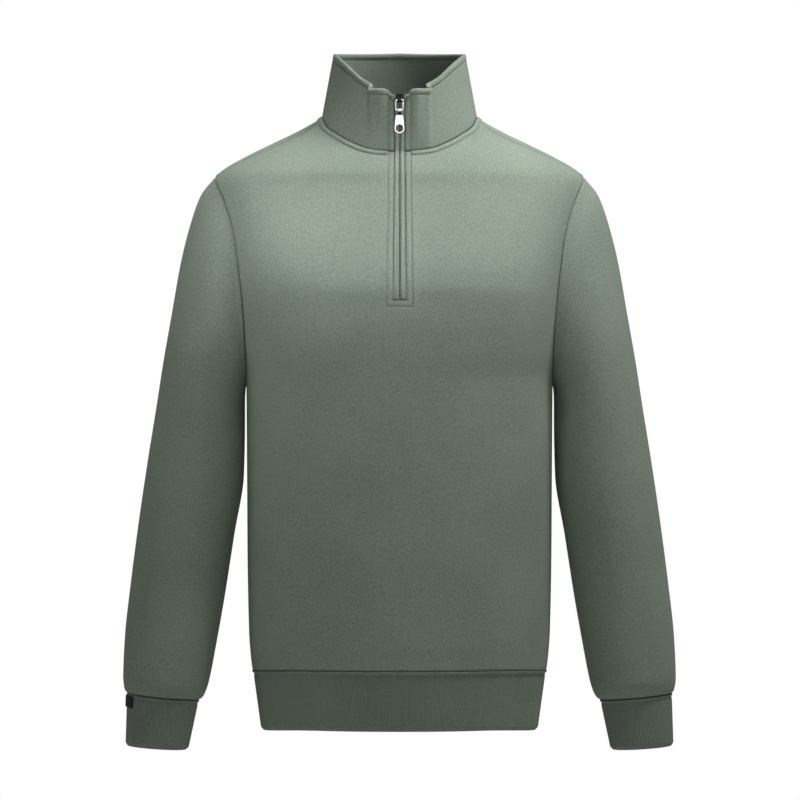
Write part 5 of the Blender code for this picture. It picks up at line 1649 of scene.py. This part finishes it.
zip_cloths = [cloths["front"], cloths["collar"]]
stitches = add_stitches("zip_frame_stitches", frame_path(), zip_cloths, (0.0, 1.0, 0.0))
show(stitches, None, "zip_tape")
for side in ("left", "right"):
    show(make_tape_end(side), None, "zip_tape")

show(make_link(), "zip_link", "pull_metal", "pull_link")
show(make_tag_plate(), "zip_tag", "pull_metal", "pull_tag")
show(make_tag_eye(), None, "pull_metal", "pull_tag")
# The neck gets the dark slider metal as painted shade, for the shadow between the link and the tag's plate
show(make_tag_neck(), None, "slider_metal", "pull_tag")
slider = bpy.data.objects["zip_slider"]
slider.data.materials.clear()
slider.data.materials.append(MATERIALS["slider_metal"])


# Camera, light and floor

CAMERA_DISTANCE = 4.5
CAMERA_X = 0.0006
CAMERA_Z = -0.3243
CAMERA_SENSOR = 36.0
CAMERA_CLIP = 50.0
VIEW_WIDTH = 0.920
FLOOR_Z = -0.95
FLOOR_RADIUS = 1.5
FLOOR_SIDES = 96
FLOOR_COLOR = (0.80, 0.80, 0.80, 1)
FLOOR_ROUGHNESS = 0.9
# The world's light: on the cloth, in front for the metal to mirror, and how far that one narrows
AMBIENT = 0.103
MIRRORED = 0.62
MIRRORED_POWER = 3.0
# The share of the light all round that the metal doesn't mirror
NOT_MIRRORED = 0.85
# Softboxes: name, place, aim, width, height, power in watts, spread in degrees
LIGHTS = (
    ("key", (0.10, -1.40, 0.20), (0.08, -0.10, -0.05), 0.35, 0.35, 0.134, 80.0),
    ("key_right", (0.70, -0.80, 0.45), (0.10, -0.08, 0.00), 0.30, 0.30, 0.162, 60.0),
    ("top_right", (0.85, -0.45, 1.20), (0.00, 0.00, -0.20), 0.40, 0.40, 24.2, 180.0),
    ("top", (0.20, -0.25, 1.80), (0.00, 0.00, -0.20), 0.60, 0.60, 18.2, 180.0),
    ("top_left", (-1.00, -0.25, 1.40), (0.00, 0.00, -0.20), 0.40, 0.40, 1.9, 180.0),
    ("left", (-1.30, -0.45, 0.10), (0.00, 0.00, -0.30), 0.40, 0.40, 2.4, 180.0),
    ("collar_right", (0.75, -0.45, 0.15), (0.05, -0.04, 0.02), 0.12, 0.12, 0.026, 26.0),
    ("chest_left", (-0.45, -0.90, 0.80), (-0.13, -0.10, -0.17), 0.20, 0.20, 0.15, 25.0),
    ("chest_right", (0.30, -0.90, 0.70), (0.10, -0.09, -0.10), 0.24, 0.06, 0.165, 23.0),
    ("chest_edge", (-0.60, -1.10, 0.60), (-0.14, -0.08, -0.13), 0.06, 0.06, 0.070, 15.0),
    ("low_front", (0.20, -2.40, -0.80), (0.00, 0.00, -0.45), 1.00, 1.00, 5.9, 180.0),
)


def add_camera():
    camera = bpy.data.objects.new("camera", bpy.data.cameras.new("camera"))
    bpy.context.scene.collection.objects.link(camera)
    camera.data.sensor_width = CAMERA_SENSOR
    camera.data.lens = CAMERA_SENSOR * CAMERA_DISTANCE / VIEW_WIDTH
    camera.data.clip_end = CAMERA_CLIP
    camera.location = (CAMERA_X, -CAMERA_DISTANCE, CAMERA_Z)
    camera.rotation_euler = (math.radians(90), 0, 0)
    bpy.context.scene.camera = camera


def add_area_light(name, place, aim, width, height, power, spread):
    light = bpy.data.lights.new(name, "AREA")
    light.shape = "RECTANGLE"
    light.size = width
    light.size_y = height
    light.energy = power
    light.spread = math.radians(spread)
    obj = bpy.data.objects.new(name, light)
    bpy.context.scene.collection.objects.link(obj)
    obj.location = place
    toward = mathutils.Vector(aim) - mathutils.Vector(place)
    obj.rotation_euler = toward.to_track_quat("-Z", "Y").to_euler()


def add_world():
    """White behind the object, weak light all round it, and a bright front for the metal to mirror."""
    world = bpy.data.worlds.new("studio")
    world.use_nodes = True
    bpy.context.scene.world = world
    g = Graph(world.node_tree)
    background = world.node_tree.nodes["Background"]
    rays = g.add("ShaderNodeLightPath")
    fore = g.parts(g.add("ShaderNodeNewGeometry").outputs["Incoming"])[1]
    facing = g.math("POWER", g.math("MAXIMUM", fore, 0.0), MIRRORED_POWER)
    mirrored = g.math("MULTIPLY", g.math("MULTIPLY", facing, rays.outputs["Is Glossy Ray"]), MIRRORED)
    seen = g.math("MULTIPLY", rays.outputs["Is Camera Ray"], 1.0 - AMBIENT)
    dimmed = g.math("MULTIPLY", rays.outputs["Is Glossy Ray"], NOT_MIRRORED)
    around = g.math("MULTIPLY", g.math("SUBTRACT", 1.0, dimmed), AMBIENT)
    strength = g.math("ADD", g.math("ADD", seen, mirrored), around)
    background.inputs["Color"].default_value = (1, 1, 1, 1)
    g.join(strength, background.inputs["Strength"])


def add_floor():
    bpy.ops.mesh.primitive_circle_add(vertices=FLOOR_SIDES, radius=FLOOR_RADIUS, fill_type="NGON",
                                      location=(0, 0, FLOOR_Z))
    floor = bpy.context.active_object
    floor.name = "floor"
    material, _, shader = new_material("floor")
    shader.inputs["Base Color"].default_value = FLOOR_COLOR
    shader.inputs["Roughness"].default_value = FLOOR_ROUGHNESS
    floor.data.materials.append(material)


bpy.context.scene.view_settings.view_transform = "Standard"
add_camera()
add_world()
add_floor()
for light in LIGHTS:
    add_area_light(*light)


# What the cloth was cut to


def outer_size(obj):
    """The flat area of a cloth's outer face, and its largest distances across and along the knit."""
    mesh = obj.data
    place = np.zeros(len(mesh.vertices) * 3, dtype=np.float32)
    mesh.attributes["knit_place"].data.foreach_get("vector", place)
    place = place.reshape(-1, 3)
    areas = np.zeros(len(mesh.polygons))
    mesh.polygons.foreach_get("area", areas)
    corners = np.zeros(len(mesh.loops), dtype=np.int32)
    mesh.loops.foreach_get("vertex_index", corners)
    inner = place[corners, 2].reshape(-1, 4).max(axis=1) > 0.5
    spread = place.max(axis=0) - place.min(axis=0)
    return float(areas[~inner].sum()), (float(spread[0]), float(spread[1]))


for name, obj in cloths.items():
    if name == "neck_band":
        continue
    area, (wide, tall) = outer_size(obj)
